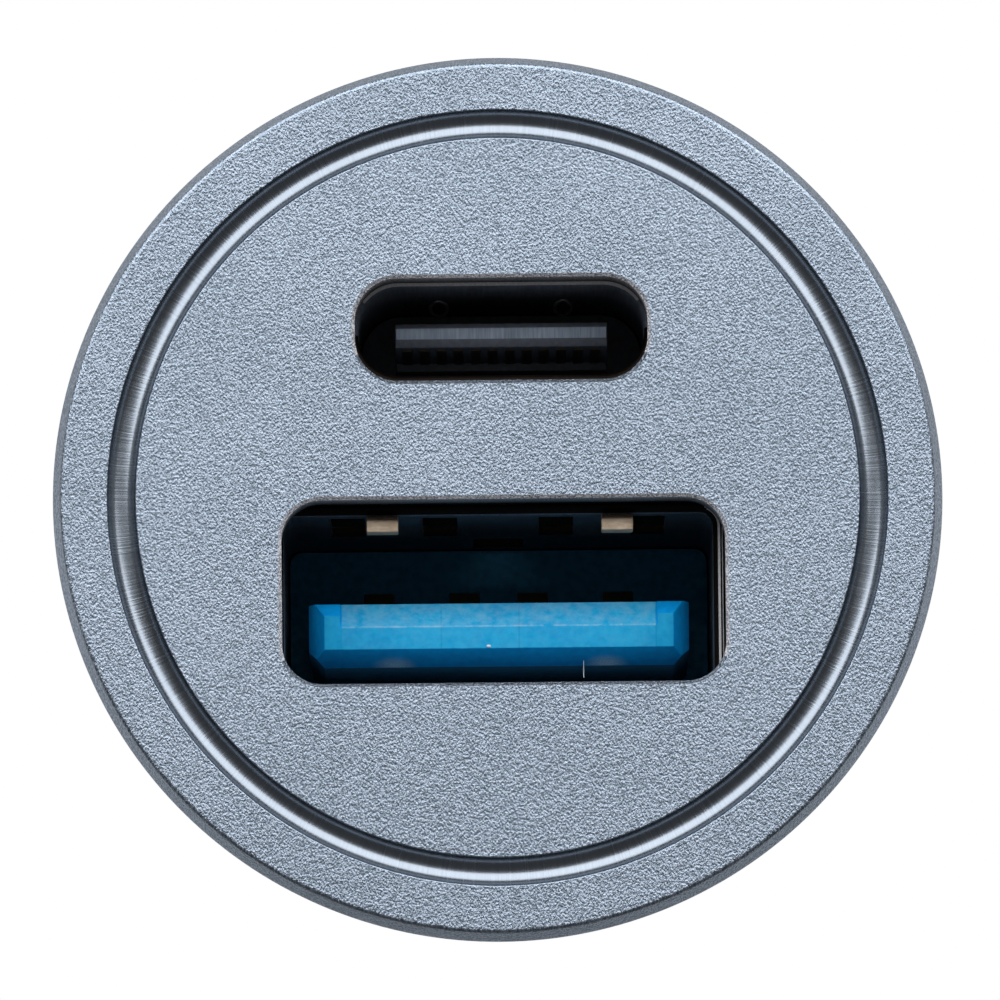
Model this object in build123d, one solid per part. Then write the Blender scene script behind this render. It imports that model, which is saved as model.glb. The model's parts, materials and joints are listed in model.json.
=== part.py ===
from build123d import *

import os
from math import sqrt

# Short all-metal car charger plug: a flared round head with a USB-C port above a USB-A port in its
# face, a barrel that goes into a 12 V socket, two sprung ground clips, a plastic nose and a sprung tip.
# Millimetres. The plug's axis is Y: the face looks to -Y, the tip points to +Y, and +Z is up.
# The origin is on the axis, in the plane of the shoulder that stops the plug at the socket's rim.

# Head
head_diameter = 25.8
head_length = 7.0
face_wall = 1.2
rim_bevel_width = 0.25
rim_bevel_depth = 0.5
rim_undercut_depth = 1.4
shoulder_width = 1.4

# Polished ring groove in the face
rim_land = 1.3
groove_width = 0.84
groove_depth = 0.38
groove_facets = 3

# Barrel
collar_diameter = 20.8
collar_length = 8.0
barrel_length = 24.0
barrel_relief = 0.2
barrel_wall = 0.8

# Places of the two ports in the face
usb_c_opening_z = 4.95
usb_a_opening_z = -2.71
usb_c_rise = 0.13
usb_a_sink = 0.15
opening_shift = 0.15
opening_edge_bevel = 0.14
port_inset = 0.8
port_depth = 12.0

# USB-A socket
usb_a_width = 13.1
usb_a_height = 5.72
usb_a_corner = 0.7
usb_a_lap_side = 0.105
usb_a_lap_top = 0.19
usb_a_opening_corner = 1.16
usb_a_standoff = 0.8
shell_sheet = 0.3
insulator_gap = 0.05
usb_a_back_length = 2.0
usb_a_foot_margin = 0.6
tongue_a_width = 11.1
tongue_a_thickness = 1.84
tongue_a_drop = 0.785
tongue_a_setback = 1.0
tongue_a_bevel = 0.46
tongue_a_bevel_length = 0.82
tongue_a_top_bevel = 0.4
tongue_a_top_bevel_length = 0.5
tongue_a_corner_cut = 0.45
tongue_a_ramp_width = 9.24
tongue_a_ramp_drop = 0.735
tongue_a_ramp_length = 0.6
contact_a_inner_pitch = 2.0
contact_a_outer_pitch = 7.0
contact_a_width = 0.9
contact_a_thickness = 0.25
contact_a_bump = 0.5
contact_a_rise_length = 1.0
contact_a_fall_length = 1.5
contact_a_setback = 1.4
contact_gap = 0.04
finger_x = 3.05
finger_width = 1.7
finger_slit = 1.0
finger_end_gap = 0.2
finger_root = 0.8
finger_length = 4.6
finger_flat_length = 0.5
finger_crest_length = 3.6
finger_dip = 0.15
finger_end_dip = 0.05
latch_hole_width = 1.5
latch_hole_length = 2.4
latch_hole_setback = 6.45
shell_leg_width = 1.2
shell_leg_reach = 0.8

# USB-C socket
usb_c_width = 8.94
usb_c_height = 3.16
usb_c_corner = 1.5
usb_c_lap_side = 0.205
usb_c_lap_top = 0.1
usb_c_opening_corner = 1.26
usb_c_shell_length = 9.5
usb_c_cavity = 6.2
usb_c_base_margin = 0.5
tongue_c_width = 6.2
tongue_c_thickness = 0.7
tongue_c_setback = 0.9
tongue_c_bevel = 0.14
tongue_c_step_length = 1.5
tongue_c_step_thickness = 1.2
contact_c_count = 12
contact_c_pitch = 0.5
contact_c_width = 0.27
contact_c_thickness = 0.05
contact_c_setback = 0.5

# Boards
fit_gap = 0.1
board_thickness = 1.0
board_tab_width = 3.0
board_tab_x = 3.0
board_slot_gap = 0.05
clip_room = 3.1
board_tail_length = 3.8

# Nose
spigot_length = 5.0
spigot_gap = 0.05
spigot_wall = 1.95
nose_web_setback = 1.8
nose_length = 10.0
nose_land = 1.8
nose_end_diameter = 12.4
nose_lip = 1.0

# Tip contact and its spring
tip_diameter = 6.4
tip_reach = 4.5
tip_dome_height = 2.2
tip_flat_diameter = 2.4
tip_dome_facets = 3
tip_flange_width = 0.75
tip_flange_length = 2.0
tip_gap = 0.15
spring_wire = 0.5
spring_turns = 3.0
spring_facets_per_turn = 16
spring_gap = 0.4
spring_end_gap = 0.12
terminal_thickness = 0.5
terminal_lap = 0.5
terminal_leg_gap = 0.6
terminal_leg_width = 2.4
terminal_leg_overlap = 2.0

# Ground clips
clip_width = 4.4
clip_sheet = 0.35
clip_curl_diameter = 1.0
clip_root_setback = 1.6
clip_lip_length = 2.1
clip_length = 11.5
clip_crest_setback = 8.0
clip_rise = 2.55
clip_end_rise = 0.22
clip_bend_radius = 1.0
clip_crest_radius = 2.2
clip_side_gap = 0.2
clip_end_gap = 0.6
clip_lip_gap = 0.3
clip_curl_gap = 0.05
clip_bore_gap = 0.12

# Parts on the power board
choke_size = 7.0
choke_height = 4.0
choke_edge_bevel = 0.5
choke_terminal_width = 3.0
choke_terminal_length = 1.75
choke_terminal_thickness = 0.2
choke_setback = 1.2
choke_can_gap = 1.9
input_can_diameter = 6.3
input_can_length = 6.5
input_can_setback = 0.5
output_can_diameter = 4.0
output_can_height = 5.0
output_can_setback = 0.6
seat_gap = 0.05
chip_length = 4.9
chip_body_width = 3.9
chip_height = 1.4
chip_setback = 0.9
chip_leads_per_side = 4
chip_lead_pitch = 1.27
chip_lead_width = 0.4
chip_lead_reach = 1.0
chip_lead_thickness = 0.25
transistor_size = 2.4
transistor_height = 0.8
transistor_edge = 0.3
transistor_setback = 1.2
small_part_length = 1.6
small_part_width = 0.8
small_part_height = 0.7
small_part_pitch = 1.6
small_part_count = 3
small_part_edge = 0.4
chip_capacitor_setback = 1.6
chip_resistor_setback = 4.8
fuse_length = 3.2
fuse_width = 1.6
fuse_height = 0.9
fuse_gap = 0.8

# Charge controller on the back of the port board
port_chip_size = 4.0
port_chip_height = 0.8
port_chip_z = 5.2

# Stations along the axis
face_y = -head_length
face_back_y = face_y + face_wall
port_front_y = face_back_y + port_inset
port_board_y = port_front_y + port_depth
power_board_y = port_board_y + board_thickness
spigot_y = barrel_length - spigot_length
web_y = barrel_length + nose_web_setback
nose_end_y = barrel_length + nose_length
tip_seat_y = nose_end_y - nose_lip
tip_end_y = nose_end_y + tip_reach
board_tail_end_y = web_y - terminal_thickness - terminal_leg_gap

# Heights of the two sockets
usb_c_z = usb_c_opening_z + usb_c_rise
usb_a_z = usb_a_opening_z - usb_a_sink

# Radii
head_radius = head_diameter / 2
collar_radius = collar_diameter / 2
neck_radius = collar_radius + shoulder_width
barrel_radius = collar_radius - barrel_relief
bore_radius = barrel_radius - barrel_wall
groove_outer_radius = head_radius - rim_bevel_width - rim_land
groove_inner_radius = groove_outer_radius - groove_width
spigot_radius = bore_radius - spigot_gap
nose_inner_radius = spigot_radius - spigot_wall
tip_radius = tip_diameter / 2
tip_flange_radius = tip_radius + tip_flange_width
guide_radius = tip_flange_radius + tip_gap
spring_radius = guide_radius - spring_gap

# Root of the right clip: the curl's outer side stays clear of the bore across the clip's whole width
clip_root_y = barrel_length - clip_root_setback
clip_face_x = sqrt(bore_radius**2 - (clip_width / 2) ** 2) - clip_bore_gap
clip_root_x = clip_face_x - clip_curl_diameter / 2
clip_window_y0 = clip_root_y - clip_length - clip_end_gap
clip_window_y1 = clip_root_y - clip_lip_length + clip_lip_gap
clip_window_width = clip_width + 2 * clip_side_gap

board_top = board_thickness / 2
board_half_width = bore_radius - clip_room


def prism(sketch, y0, y1):
    """Solid of a cross-section drawn in X and Z, from station y0 to station y1."""
    return extrude(Plane.XZ.offset(-y1) * sketch, amount=y1 - y0)


def turned(*lines):
    """Solid of revolution about the plug's axis from a closed profile of radius and station."""
    return revolve(make_face(Curve() + list(lines)), axis=Axis.Y)


def block(x0, x1, y0, y1, z0, z1):
    """Rectangular block between two corners."""
    return Pos((x0 + x1) / 2, (y0 + y1) / 2, (z0 + z1) / 2) * Box(x1 - x0, y1 - y0, z1 - z0)


def strip(line, sheet, width):
    """Bent sheet-metal strip: a line in X and Y, thickened to its left and extruded along Z."""
    outline = offset(line, amount=sheet, side=Side.LEFT, kind=Kind.INTERSECTION)
    return extrude(make_face(outline), amount=width / 2, both=True)


def faceted(curve, facets):
    """Chain of straight lines along a curve, for a small rounding with few faces."""
    return Polyline(*[curve @ (i / facets) for i in range(facets + 1)])


def port_sketch(width, height, corner, x, z):
    """Rounded rectangle across the axis, centred on a port."""
    return Pos(x, z) * RectangleRounded(width, height, corner)


def both_sides(part):
    """A piece and its mirror image in the plane between left and right."""
    return [part, mirror(part, about=Plane.YZ)]


def metal_shell():
    """Head and barrel in one piece, with groove, port openings and clip windows."""
    groove_middle = (groove_inner_radius + groove_outer_radius) / 2
    face = Polyline((0, face_back_y), (0, face_y), (groove_inner_radius, face_y))
    groove_arc = ThreePointArc(
        (groove_inner_radius, face_y),
        (groove_middle, face_y + groove_depth),
        (groove_outer_radius, face_y),
    )
    rim_y = face_y + rim_bevel_depth
    outside = Polyline(
        (groove_outer_radius, face_y),
        (head_radius - rim_bevel_width, face_y),
        (head_radius, rim_y),
        (neck_radius, rim_y + rim_undercut_depth),
        (neck_radius, 0),
        (collar_radius, 0),
        (collar_radius, collar_length),
        (barrel_radius, collar_length),
        (barrel_radius, barrel_length),
        (bore_radius, barrel_length),
        (bore_radius, face_back_y),
        (0, face_back_y),
    )
    shell = turned(face, faceted(groove_arc, groove_facets), outside)
    shell -= prism(usb_c_opening(), face_y, face_back_y)
    shell -= prism(usb_a_opening(), face_y, face_back_y)
    mouth_edges = shell.edges().filter_by_position(Axis.Y, face_y, face_y)
    mouth_edges = mouth_edges.filter_by(
        lambda e: e.geom_type == GeomType.LINE or e.radius < groove_inner_radius / 2
    )
    shell = chamfer(mouth_edges, opening_edge_bevel)
    half_window = clip_window_width / 2
    window = block(0, head_radius, clip_window_y0, clip_window_y1, -half_window, half_window)
    return shell - both_sides(window)


def usb_c_opening():
    """Outline of the hole in the face in front of the USB-C socket."""
    return port_sketch(
        usb_c_width - 2 * usb_c_lap_side,
        usb_c_height - 2 * usb_c_lap_top,
        usb_c_opening_corner,
        opening_shift,
        usb_c_opening_z,
    )


def usb_a_opening():
    """Outline of the hole in the face in front of the USB-A socket."""
    return port_sketch(
        usb_a_width - 2 * usb_a_lap_side,
        usb_a_height - 2 * usb_a_lap_top,
        usb_a_opening_corner,
        opening_shift,
        usb_a_opening_z,
    )


# Stations and heights inside the USB-A socket
usb_a_end_y = port_board_y - usb_a_standoff
usb_a_ceiling = usb_a_z + usb_a_height / 2 - shell_sheet
tongue_a_top = usb_a_z - tongue_a_drop + tongue_a_thickness / 2
tongue_a_bottom = tongue_a_top - tongue_a_thickness
tongue_a_tip_y = port_front_y + tongue_a_setback
contact_a_front_y = tongue_a_tip_y + contact_a_setback
usb_a_back_y = port_board_y - usb_a_back_length - usb_a_standoff
contact_a_places = [
    side * pitch / 2 for pitch in (contact_a_inner_pitch, contact_a_outer_pitch) for side in (-1, 1)
]


def usb_a_shell():
    """Folded shell with two sprung fingers and a latch hole in its top wall, and legs in the board."""
    outer = port_sketch(usb_a_width, usb_a_height, usb_a_corner, 0, usb_a_z)
    inner = port_sketch(
        usb_a_width - 2 * shell_sheet,
        usb_a_height - 2 * shell_sheet,
        usb_a_corner - shell_sheet,
        0,
        usb_a_z,
    )
    shell = prism(outer - inner, port_front_y, usb_a_end_y)
    slot = finger_width / 2 + finger_slit
    finger_y0 = port_front_y + finger_root
    finger_y1 = finger_y0 + finger_length
    top = usb_a_ceiling + shell_sheet
    for x in (-finger_x, finger_x):
        shell -= block(x - slot, x + slot, finger_y0, finger_y1 + finger_end_gap, usb_a_ceiling, top)
        shell += sprung_finger(x, finger_y0, finger_y1)
    hole_y0 = port_front_y + latch_hole_setback
    half_hole = latch_hole_width / 2
    shell -= block(-half_hole, half_hole, hole_y0, hole_y0 + latch_hole_length, usb_a_ceiling, top)
    leg_end = port_board_y + board_thickness + shell_leg_reach
    half_leg = shell_leg_width / 2
    side = usb_a_width / 2
    leg = block(
        side - shell_sheet, side, usb_a_end_y, leg_end, usb_a_z - half_leg, usb_a_z + half_leg
    )
    return shell + both_sides(leg)


def sprung_finger(x, y0, y1):
    """Tongue of the top wall, bent down to press on a plug, with its end turned up again."""
    top = usb_a_ceiling + shell_sheet
    line = Polyline(
        (top, y0),
        (top, y0 + finger_flat_length),
        (top - finger_dip, y0 + finger_crest_length),
        (top - finger_end_dip, y1),
    )
    return Pos(x, 0, 0) * Rot(0, -90, 0) * strip(line, shell_sheet, finger_width)


def tongue_tip_cut(z, rise, length, width):
    """Wedge across the tongue's tip, from the height z at its back to z + rise at the tip."""
    line = Polyline((tongue_a_tip_y, z), (tongue_a_tip_y + length, z), (tongue_a_tip_y, z + rise), close=True)
    return extrude(Plane.YZ * make_face(line), amount=width / 2, both=True)


def usb_a_tongue():
    """Blue insulator: a back block that fills the shell, and the bevelled tongue with its entry ramp."""
    half_width = tongue_a_width / 2
    tongue = block(
        -half_width, half_width, tongue_a_tip_y, usb_a_back_y, tongue_a_bottom, tongue_a_top
    )
    lower_edges = tongue.edges().filter_by(Axis.Y).sort_by(Axis.Z)[:2]
    tongue = chamfer(lower_edges, tongue_a_corner_cut)
    tongue -= tongue_tip_cut(tongue_a_top, -tongue_a_top_bevel, tongue_a_top_bevel_length, tongue_a_width)
    tongue -= tongue_tip_cut(tongue_a_top, -tongue_a_ramp_drop, tongue_a_ramp_length, tongue_a_ramp_width)
    tongue -= tongue_tip_cut(tongue_a_bottom, tongue_a_bevel, tongue_a_bevel_length, tongue_a_width)
    side_line = Polyline(
        (half_width, tongue_a_tip_y),
        (half_width, tongue_a_tip_y + tongue_a_bevel_length),
        (half_width - tongue_a_bevel, tongue_a_tip_y),
        close=True,
    )
    side_cut = Pos(0, 0, tongue_a_bottom) * extrude(make_face(side_line), amount=tongue_a_thickness)
    tongue -= both_sides(side_cut)
    back = prism(
        port_sketch(
            usb_a_width - 2 * (shell_sheet + insulator_gap),
            usb_a_height - 2 * (shell_sheet + insulator_gap),
            usb_a_corner - shell_sheet,
            0,
            usb_a_z,
        ),
        usb_a_back_y,
        usb_a_end_y,
    )
    foot = prism(
        Pos(0, usb_a_z) * Rectangle(tongue_a_width, usb_a_height - 2 * usb_a_foot_margin),
        usb_a_end_y,
        port_board_y,
    )
    tongue += back
    tongue += foot
    half_slot = contact_a_width / 2 + contact_gap
    floor = tongue_a_top - contact_a_thickness - contact_gap
    for x in contact_a_places:
        tongue -= block(
            x - half_slot,
            x + half_slot,
            contact_a_front_y - contact_a_thickness,
            port_board_y,
            floor,
            tongue_a_top + contact_gap,
        )
    return tongue


def usb_a_contacts():
    """Four contact blades: each lies in its slot, rises to a bump and has its tail in the board."""
    crest_y = contact_a_front_y + contact_a_rise_length
    line = Polyline(
        (tongue_a_top, contact_a_front_y),
        (tongue_a_top + contact_a_bump, crest_y),
        (tongue_a_top, crest_y + contact_a_fall_length),
        (tongue_a_top, port_board_y + board_thickness + shell_leg_reach),
    )
    blade = Rot(0, -90, 0) * strip(line, contact_a_thickness, contact_a_width)
    return [Pos(x, 0, 0) * blade for x in contact_a_places]


# Stations and heights inside the USB-C socket
usb_c_back_y = port_front_y + usb_c_cavity
usb_c_end_y = port_front_y + usb_c_shell_length
tongue_c_tip_y = port_front_y + tongue_c_setback


def usb_c_shell():
    """Drawn shell, an open tube with nearly round ends."""
    outer = port_sketch(usb_c_width, usb_c_height, usb_c_corner, opening_shift, usb_c_z)
    inner = port_sketch(
        usb_c_width - 2 * shell_sheet,
        usb_c_height - 2 * shell_sheet,
        usb_c_corner - shell_sheet,
        opening_shift,
        usb_c_z,
    )
    return prism(outer - inner, port_front_y, usb_c_end_y)


def usb_c_tongue():
    """Dark insulator: plug in the shell, tall base to the board, and the thin stepped tongue."""
    gap = 2 * (shell_sheet + insulator_gap)
    plug = prism(
        port_sketch(
            usb_c_width - gap, usb_c_height - gap, usb_c_corner - shell_sheet, opening_shift, usb_c_z
        ),
        usb_c_back_y,
        usb_c_end_y,
    )
    base = prism(
        Pos(opening_shift, usb_c_z) * Rectangle(usb_c_width - 2 * usb_c_base_margin, usb_c_height),
        usb_c_end_y,
        port_board_y,
    )
    half_width = tongue_c_width / 2
    left = opening_shift - half_width
    right = opening_shift + half_width
    half = tongue_c_thickness / 2
    tongue = block(left, right, tongue_c_tip_y, usb_c_back_y, usb_c_z - half, usb_c_z + half)
    front = tongue.faces().sort_by(Axis.Y)[0]
    tongue = chamfer(front.edges(), tongue_c_bevel)
    half_step = tongue_c_step_thickness / 2
    step = block(
        left,
        right,
        usb_c_back_y - tongue_c_step_length,
        usb_c_back_y,
        usb_c_z - half_step,
        usb_c_z + half_step,
    )
    return plug + base + tongue + step


def usb_c_contacts():
    """Two rows of flat contact strips, above and below the thin tongue."""
    first_x = opening_shift - (contact_c_count - 1) * contact_c_pitch / 2
    y0 = tongue_c_tip_y + contact_c_setback
    length = usb_c_back_y - tongue_c_step_length - y0
    lift = (tongue_c_thickness + contact_c_thickness) / 2
    pad = Pos(first_x, y0 + length / 2, usb_c_z) * Box(contact_c_width, length, contact_c_thickness)
    return [
        Pos(i * contact_c_pitch, 0, side * lift) * pad for i in range(contact_c_count) for side in (-1, 1)
    ]


def port_board():
    """Round board behind the sockets, with slots for the power board's tabs and holes for their legs."""
    board = prism(Circle(bore_radius - fit_gap), port_board_y, power_board_y)
    gap = board_slot_gap
    half_tab = board_tab_width / 2 + gap
    tab_slot = prism(
        Pos(board_tab_x, 0) * Rectangle(2 * half_tab, board_thickness + 2 * gap), port_board_y, power_board_y
    )
    leg_x = usb_a_width / 2 - shell_sheet / 2
    leg_hole = prism(
        Pos(leg_x, usb_a_z) * Rectangle(shell_sheet + 2 * gap, shell_leg_width + 2 * gap),
        port_board_y,
        power_board_y,
    )
    tail = Rectangle(contact_a_width + 2 * gap, contact_a_thickness + 2 * gap)
    tail_holes = [
        prism(Pos(x, tongue_a_top - contact_a_thickness / 2) * tail, port_board_y, power_board_y)
        for x in contact_a_places
    ]
    return board - both_sides(tab_slot) - both_sides(leg_hole) - tail_holes


def power_board():
    """Long board: tabs into the port board, a waist between the clips, and a wider tail in the nose."""
    tail_y = board_tail_end_y - board_tail_length
    tail_half = sqrt((nose_inner_radius - fit_gap) ** 2 - board_top**2)
    waist = block(-board_half_width, board_half_width, power_board_y, board_tail_end_y, -board_top, board_top)
    tail = block(-tail_half, tail_half, tail_y, board_tail_end_y, -board_top, board_top)
    half_tab = board_tab_width / 2
    tab = block(
        board_tab_x - half_tab, board_tab_x + half_tab, port_board_y, power_board_y, -board_top, board_top
    )
    return waist + tail + both_sides(tab)


def nose_cap():
    """Moulded nose: spigot in the barrel with the clips' seats, straight taper, and the tip's guide."""
    mouth_radius = tip_radius + tip_gap
    profile = Polyline(
        (spigot_radius, spigot_y),
        (spigot_radius, barrel_length),
        (barrel_radius, barrel_length),
        (barrel_radius, barrel_length + nose_land),
        (nose_end_diameter / 2, nose_end_y),
        (mouth_radius, nose_end_y),
        (mouth_radius, tip_seat_y),
        (guide_radius, tip_seat_y),
        (guide_radius, web_y),
        (nose_inner_radius, web_y),
        (nose_inner_radius, spigot_y),
        close=True,
    )
    nose = turned(profile)
    half_slot = clip_window_width / 2
    seat_radius = clip_curl_diameter / 2 + clip_curl_gap
    leaf_slot = block(
        0, head_radius, spigot_y, clip_root_y - clip_curl_diameter / 2, -half_slot, half_slot
    )
    curl_seat = Pos(clip_root_x, clip_root_y, 0) * Cylinder(seat_radius, clip_window_width)
    curl_way = block(
        clip_root_x,
        head_radius,
        clip_root_y - seat_radius,
        clip_root_y + seat_radius,
        -half_slot,
        half_slot,
    )
    for cut in (leaf_slot, curl_seat, curl_way):
        nose -= both_sides(cut)
    return nose


def ground_clip():
    """Right leaf spring: curled root, straight lip under the barrel, ramp, round crest and free end."""
    line_x = clip_face_x - clip_sheet
    line = FilletPolyline(
        (line_x, clip_root_y),
        (line_x, clip_root_y - clip_lip_length),
        (line_x + clip_rise, clip_root_y - clip_crest_setback),
        (line_x + clip_end_rise, clip_root_y - clip_length),
        radius=[clip_bend_radius, clip_crest_radius],
    )
    curl = Pos(clip_root_x, clip_root_y, 0) * Cylinder(clip_curl_diameter / 2, clip_width)
    return strip(line, clip_sheet, clip_width) + curl


def tip_contact():
    """Turned tip: flange behind the nose's lip, pin with a flattened dome."""
    flange_y = tip_seat_y - tip_flange_length
    dome_start = (tip_radius, tip_end_y - tip_dome_height)
    dome = TangentArc(dome_start, (tip_flat_diameter / 2, tip_end_y), tangent=(0, 1))
    rest = Polyline(
        dome @ 1,
        (0, tip_end_y),
        (0, flange_y),
        (tip_flange_radius, flange_y),
        (tip_flange_radius, tip_seat_y),
        (tip_radius, tip_seat_y),
        dome_start,
    )
    return turned(faceted(dome, tip_dome_facets), rest)


def tip_spring():
    """Coil spring of square wire, in short straight runs, from the terminal plate to the tip's flange."""
    start_y = web_y + spring_wire / 2 + spring_end_gap
    end_y = tip_seat_y - tip_flange_length - spring_wire / 2 - spring_end_gap
    length = end_y - start_y
    coil = Helix(
        pitch=length / spring_turns,
        height=length,
        radius=spring_radius - spring_wire / 2,
        center=(0, start_y, 0),
        direction=(0, 1, 0),
    )
    path = faceted(coil, round(spring_turns * spring_facets_per_turn))
    section = Plane(origin=path @ 0, z_dir=path % 0) * Rectangle(spring_wire, spring_wire)
    return sweep(section, path=path, transition=Transition.RIGHT)


def tip_terminal():
    """Plate behind the spring, against the nose's web, with a leg along the power board's tail."""
    plate_size = 2 * (guide_radius + terminal_lap)
    plate = prism(Rectangle(plate_size, plate_size), web_y - terminal_thickness, web_y)
    half_leg = terminal_leg_width / 2
    leg = block(
        -half_leg,
        half_leg,
        board_tail_end_y - terminal_leg_overlap,
        web_y - terminal_thickness,
        board_top,
        board_top + terminal_thickness,
    )
    return plate + leg


# Stations of the parts on the power board, where the choke fills the room before the output capacitor
input_can_y = power_board_y + shell_leg_reach + input_can_setback
output_can_y = board_tail_end_y - terminal_leg_overlap - output_can_setback - output_can_diameter / 2
choke_front_y = power_board_y + choke_setback
choke_length = output_can_y - output_can_diameter / 2 - choke_can_gap - choke_front_y
choke_y = choke_front_y + choke_length / 2
chip_y = board_tail_end_y - chip_setback - chip_length / 2


def power_choke():
    """Moulded power choke, bevelled round its top and its four upright edges."""
    body = Box(choke_size, choke_length, choke_height)
    body = chamfer(body.edges().filter_by(Axis.Z), choke_edge_bevel)
    body = chamfer(body.faces().sort_by(Axis.Z)[-1].edges(), choke_edge_bevel)
    return Pos(0, choke_y, board_top + choke_terminal_thickness + choke_height / 2) * body


def choke_terminals():
    """Two flat terminals under the choke, on the board."""
    terminal = Box(choke_terminal_width, choke_terminal_length, choke_terminal_thickness)
    offset_y = (choke_length - choke_terminal_length) / 2
    z = board_top + choke_terminal_thickness / 2
    return [Pos(0, choke_y + side * offset_y, z) * terminal for side in (-1, 1)]


def can_capacitor(diameter, length):
    """Electrolytic can standing on Z = 0."""
    return Pos(0, 0, length / 2) * Cylinder(diameter / 2, length)


def input_capacitor():
    """Larger can, lying under the power board along the axis."""
    drop = board_top + seat_gap + input_can_diameter / 2
    can = can_capacitor(input_can_diameter, input_can_length)
    return Pos(0, input_can_y, -drop) * Rot(-90, 0, 0) * can


def output_capacitor():
    """Smaller can, standing on the power board's tail."""
    return Pos(0, output_can_y, board_top) * can_capacitor(output_can_diameter, output_can_height)


def converter_chip():
    """Moulded body of the converter chip, under the power board's tail."""
    lift = chip_lead_thickness / 2
    body = Box(chip_body_width, chip_length, chip_height)
    return Pos(0, chip_y, -board_top - lift - chip_height / 2) * body


def converter_leads():
    """Flat leads along each side of the converter chip, on the board."""
    lead = Box(chip_lead_reach, chip_lead_width, chip_lead_thickness)
    x = (chip_body_width + chip_lead_reach) / 2
    first_y = chip_y - (chip_leads_per_side - 1) * chip_lead_pitch / 2
    z = -board_top - chip_lead_thickness / 2
    return [
        Pos(side * x, first_y + i * chip_lead_pitch, z) * lead
        for i in range(chip_leads_per_side)
        for side in (-1, 1)
    ]


def power_transistors():
    """Two flat transistors beside the input capacitor."""
    x = board_half_width - transistor_edge - transistor_size / 2
    y = power_board_y + transistor_setback + transistor_size / 2
    body = Box(transistor_size, transistor_size, transistor_height)
    return both_sides(Pos(x, y, -board_top - transistor_height / 2) * body)


def small_parts(z_side, setback):
    """Rows of small chip parts near both edges of the power board, on its top or its underside."""
    y0 = power_board_y + setback
    x = board_half_width - small_part_edge - small_part_width / 2
    z = z_side * (board_top + small_part_height / 2)
    body = Box(small_part_width, small_part_length, small_part_height)
    step = small_part_length + small_part_pitch
    places = [Pos(x, y0 + i * step, z) * body for i in range(small_part_count)]
    return [piece for place in places for piece in both_sides(place)]


def input_fuse():
    """Flat fuse on the power board's tail, beside the terminal's leg."""
    x = terminal_leg_width / 2 + fuse_gap + fuse_width / 2
    y = board_tail_end_y - fuse_length / 2 - fit_gap
    return Pos(x, y, board_top + fuse_height / 2) * Box(fuse_width, fuse_length, fuse_height)


def port_chip():
    """Charge controller on the back of the port board."""
    y = power_board_y + port_chip_height / 2
    return Pos(0, y, port_chip_z) * Box(port_chip_size, port_chip_height, port_chip_size)


right_clip = ground_clip()
nodes = {
    "metal_shell": metal_shell(),
    "usb_a_shell": usb_a_shell(),
    "usb_a_tongue": usb_a_tongue(),
    "usb_a_contacts": usb_a_contacts(),
    "usb_c_shell": usb_c_shell(),
    "usb_c_tongue": usb_c_tongue(),
    "usb_c_contacts": usb_c_contacts(),
    "port_board": port_board(),
    "port_chip": port_chip(),
    "power_board": power_board(),
    "power_choke": power_choke(),
    "choke_terminals": choke_terminals(),
    "input_capacitor": input_capacitor(),
    "output_capacitor": output_capacitor(),
    "converter_chip": converter_chip(),
    "converter_leads": converter_leads(),
    "power_transistors": power_transistors(),
    "chip_capacitors": small_parts(1, chip_capacitor_setback),
    "chip_resistors": small_parts(-1, chip_resistor_setback),
    "input_fuse": input_fuse(),
    "nose_cap": nose_cap(),
    "tip_contact": tip_contact(),
    "tip_spring": tip_spring(),
    "tip_terminal": tip_terminal(),
    "ground_clip_right": right_clip,
    "ground_clip_left": mirror(right_clip, about=Plane.YZ),
}

os.makedirs("parts", exist_ok=True)
for name, piece in nodes.items():
    shape = Compound(children=piece) if isinstance(piece, list) else piece
    export_step(shape, f"parts/{name}.step")
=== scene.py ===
"""Short car charger plug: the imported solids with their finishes, and finer forms where they show.

The plug's axis is Y: the face looks to -Y, the tip points to +Y, and +Z is up. Lengths are metres.
"""

from __future__ import annotations

import json
import logging
import math
from collections.abc import Callable, Sequence
from dataclasses import dataclass
from enum import Enum

import bmesh
import bpy
from bmesh.types import BMEdge, BMesh, BMFace, BMVert
from bpy.types import Material, Node, NodeSocket, NodeTree, Object, World
from mathutils import Matrix, Vector

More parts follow.
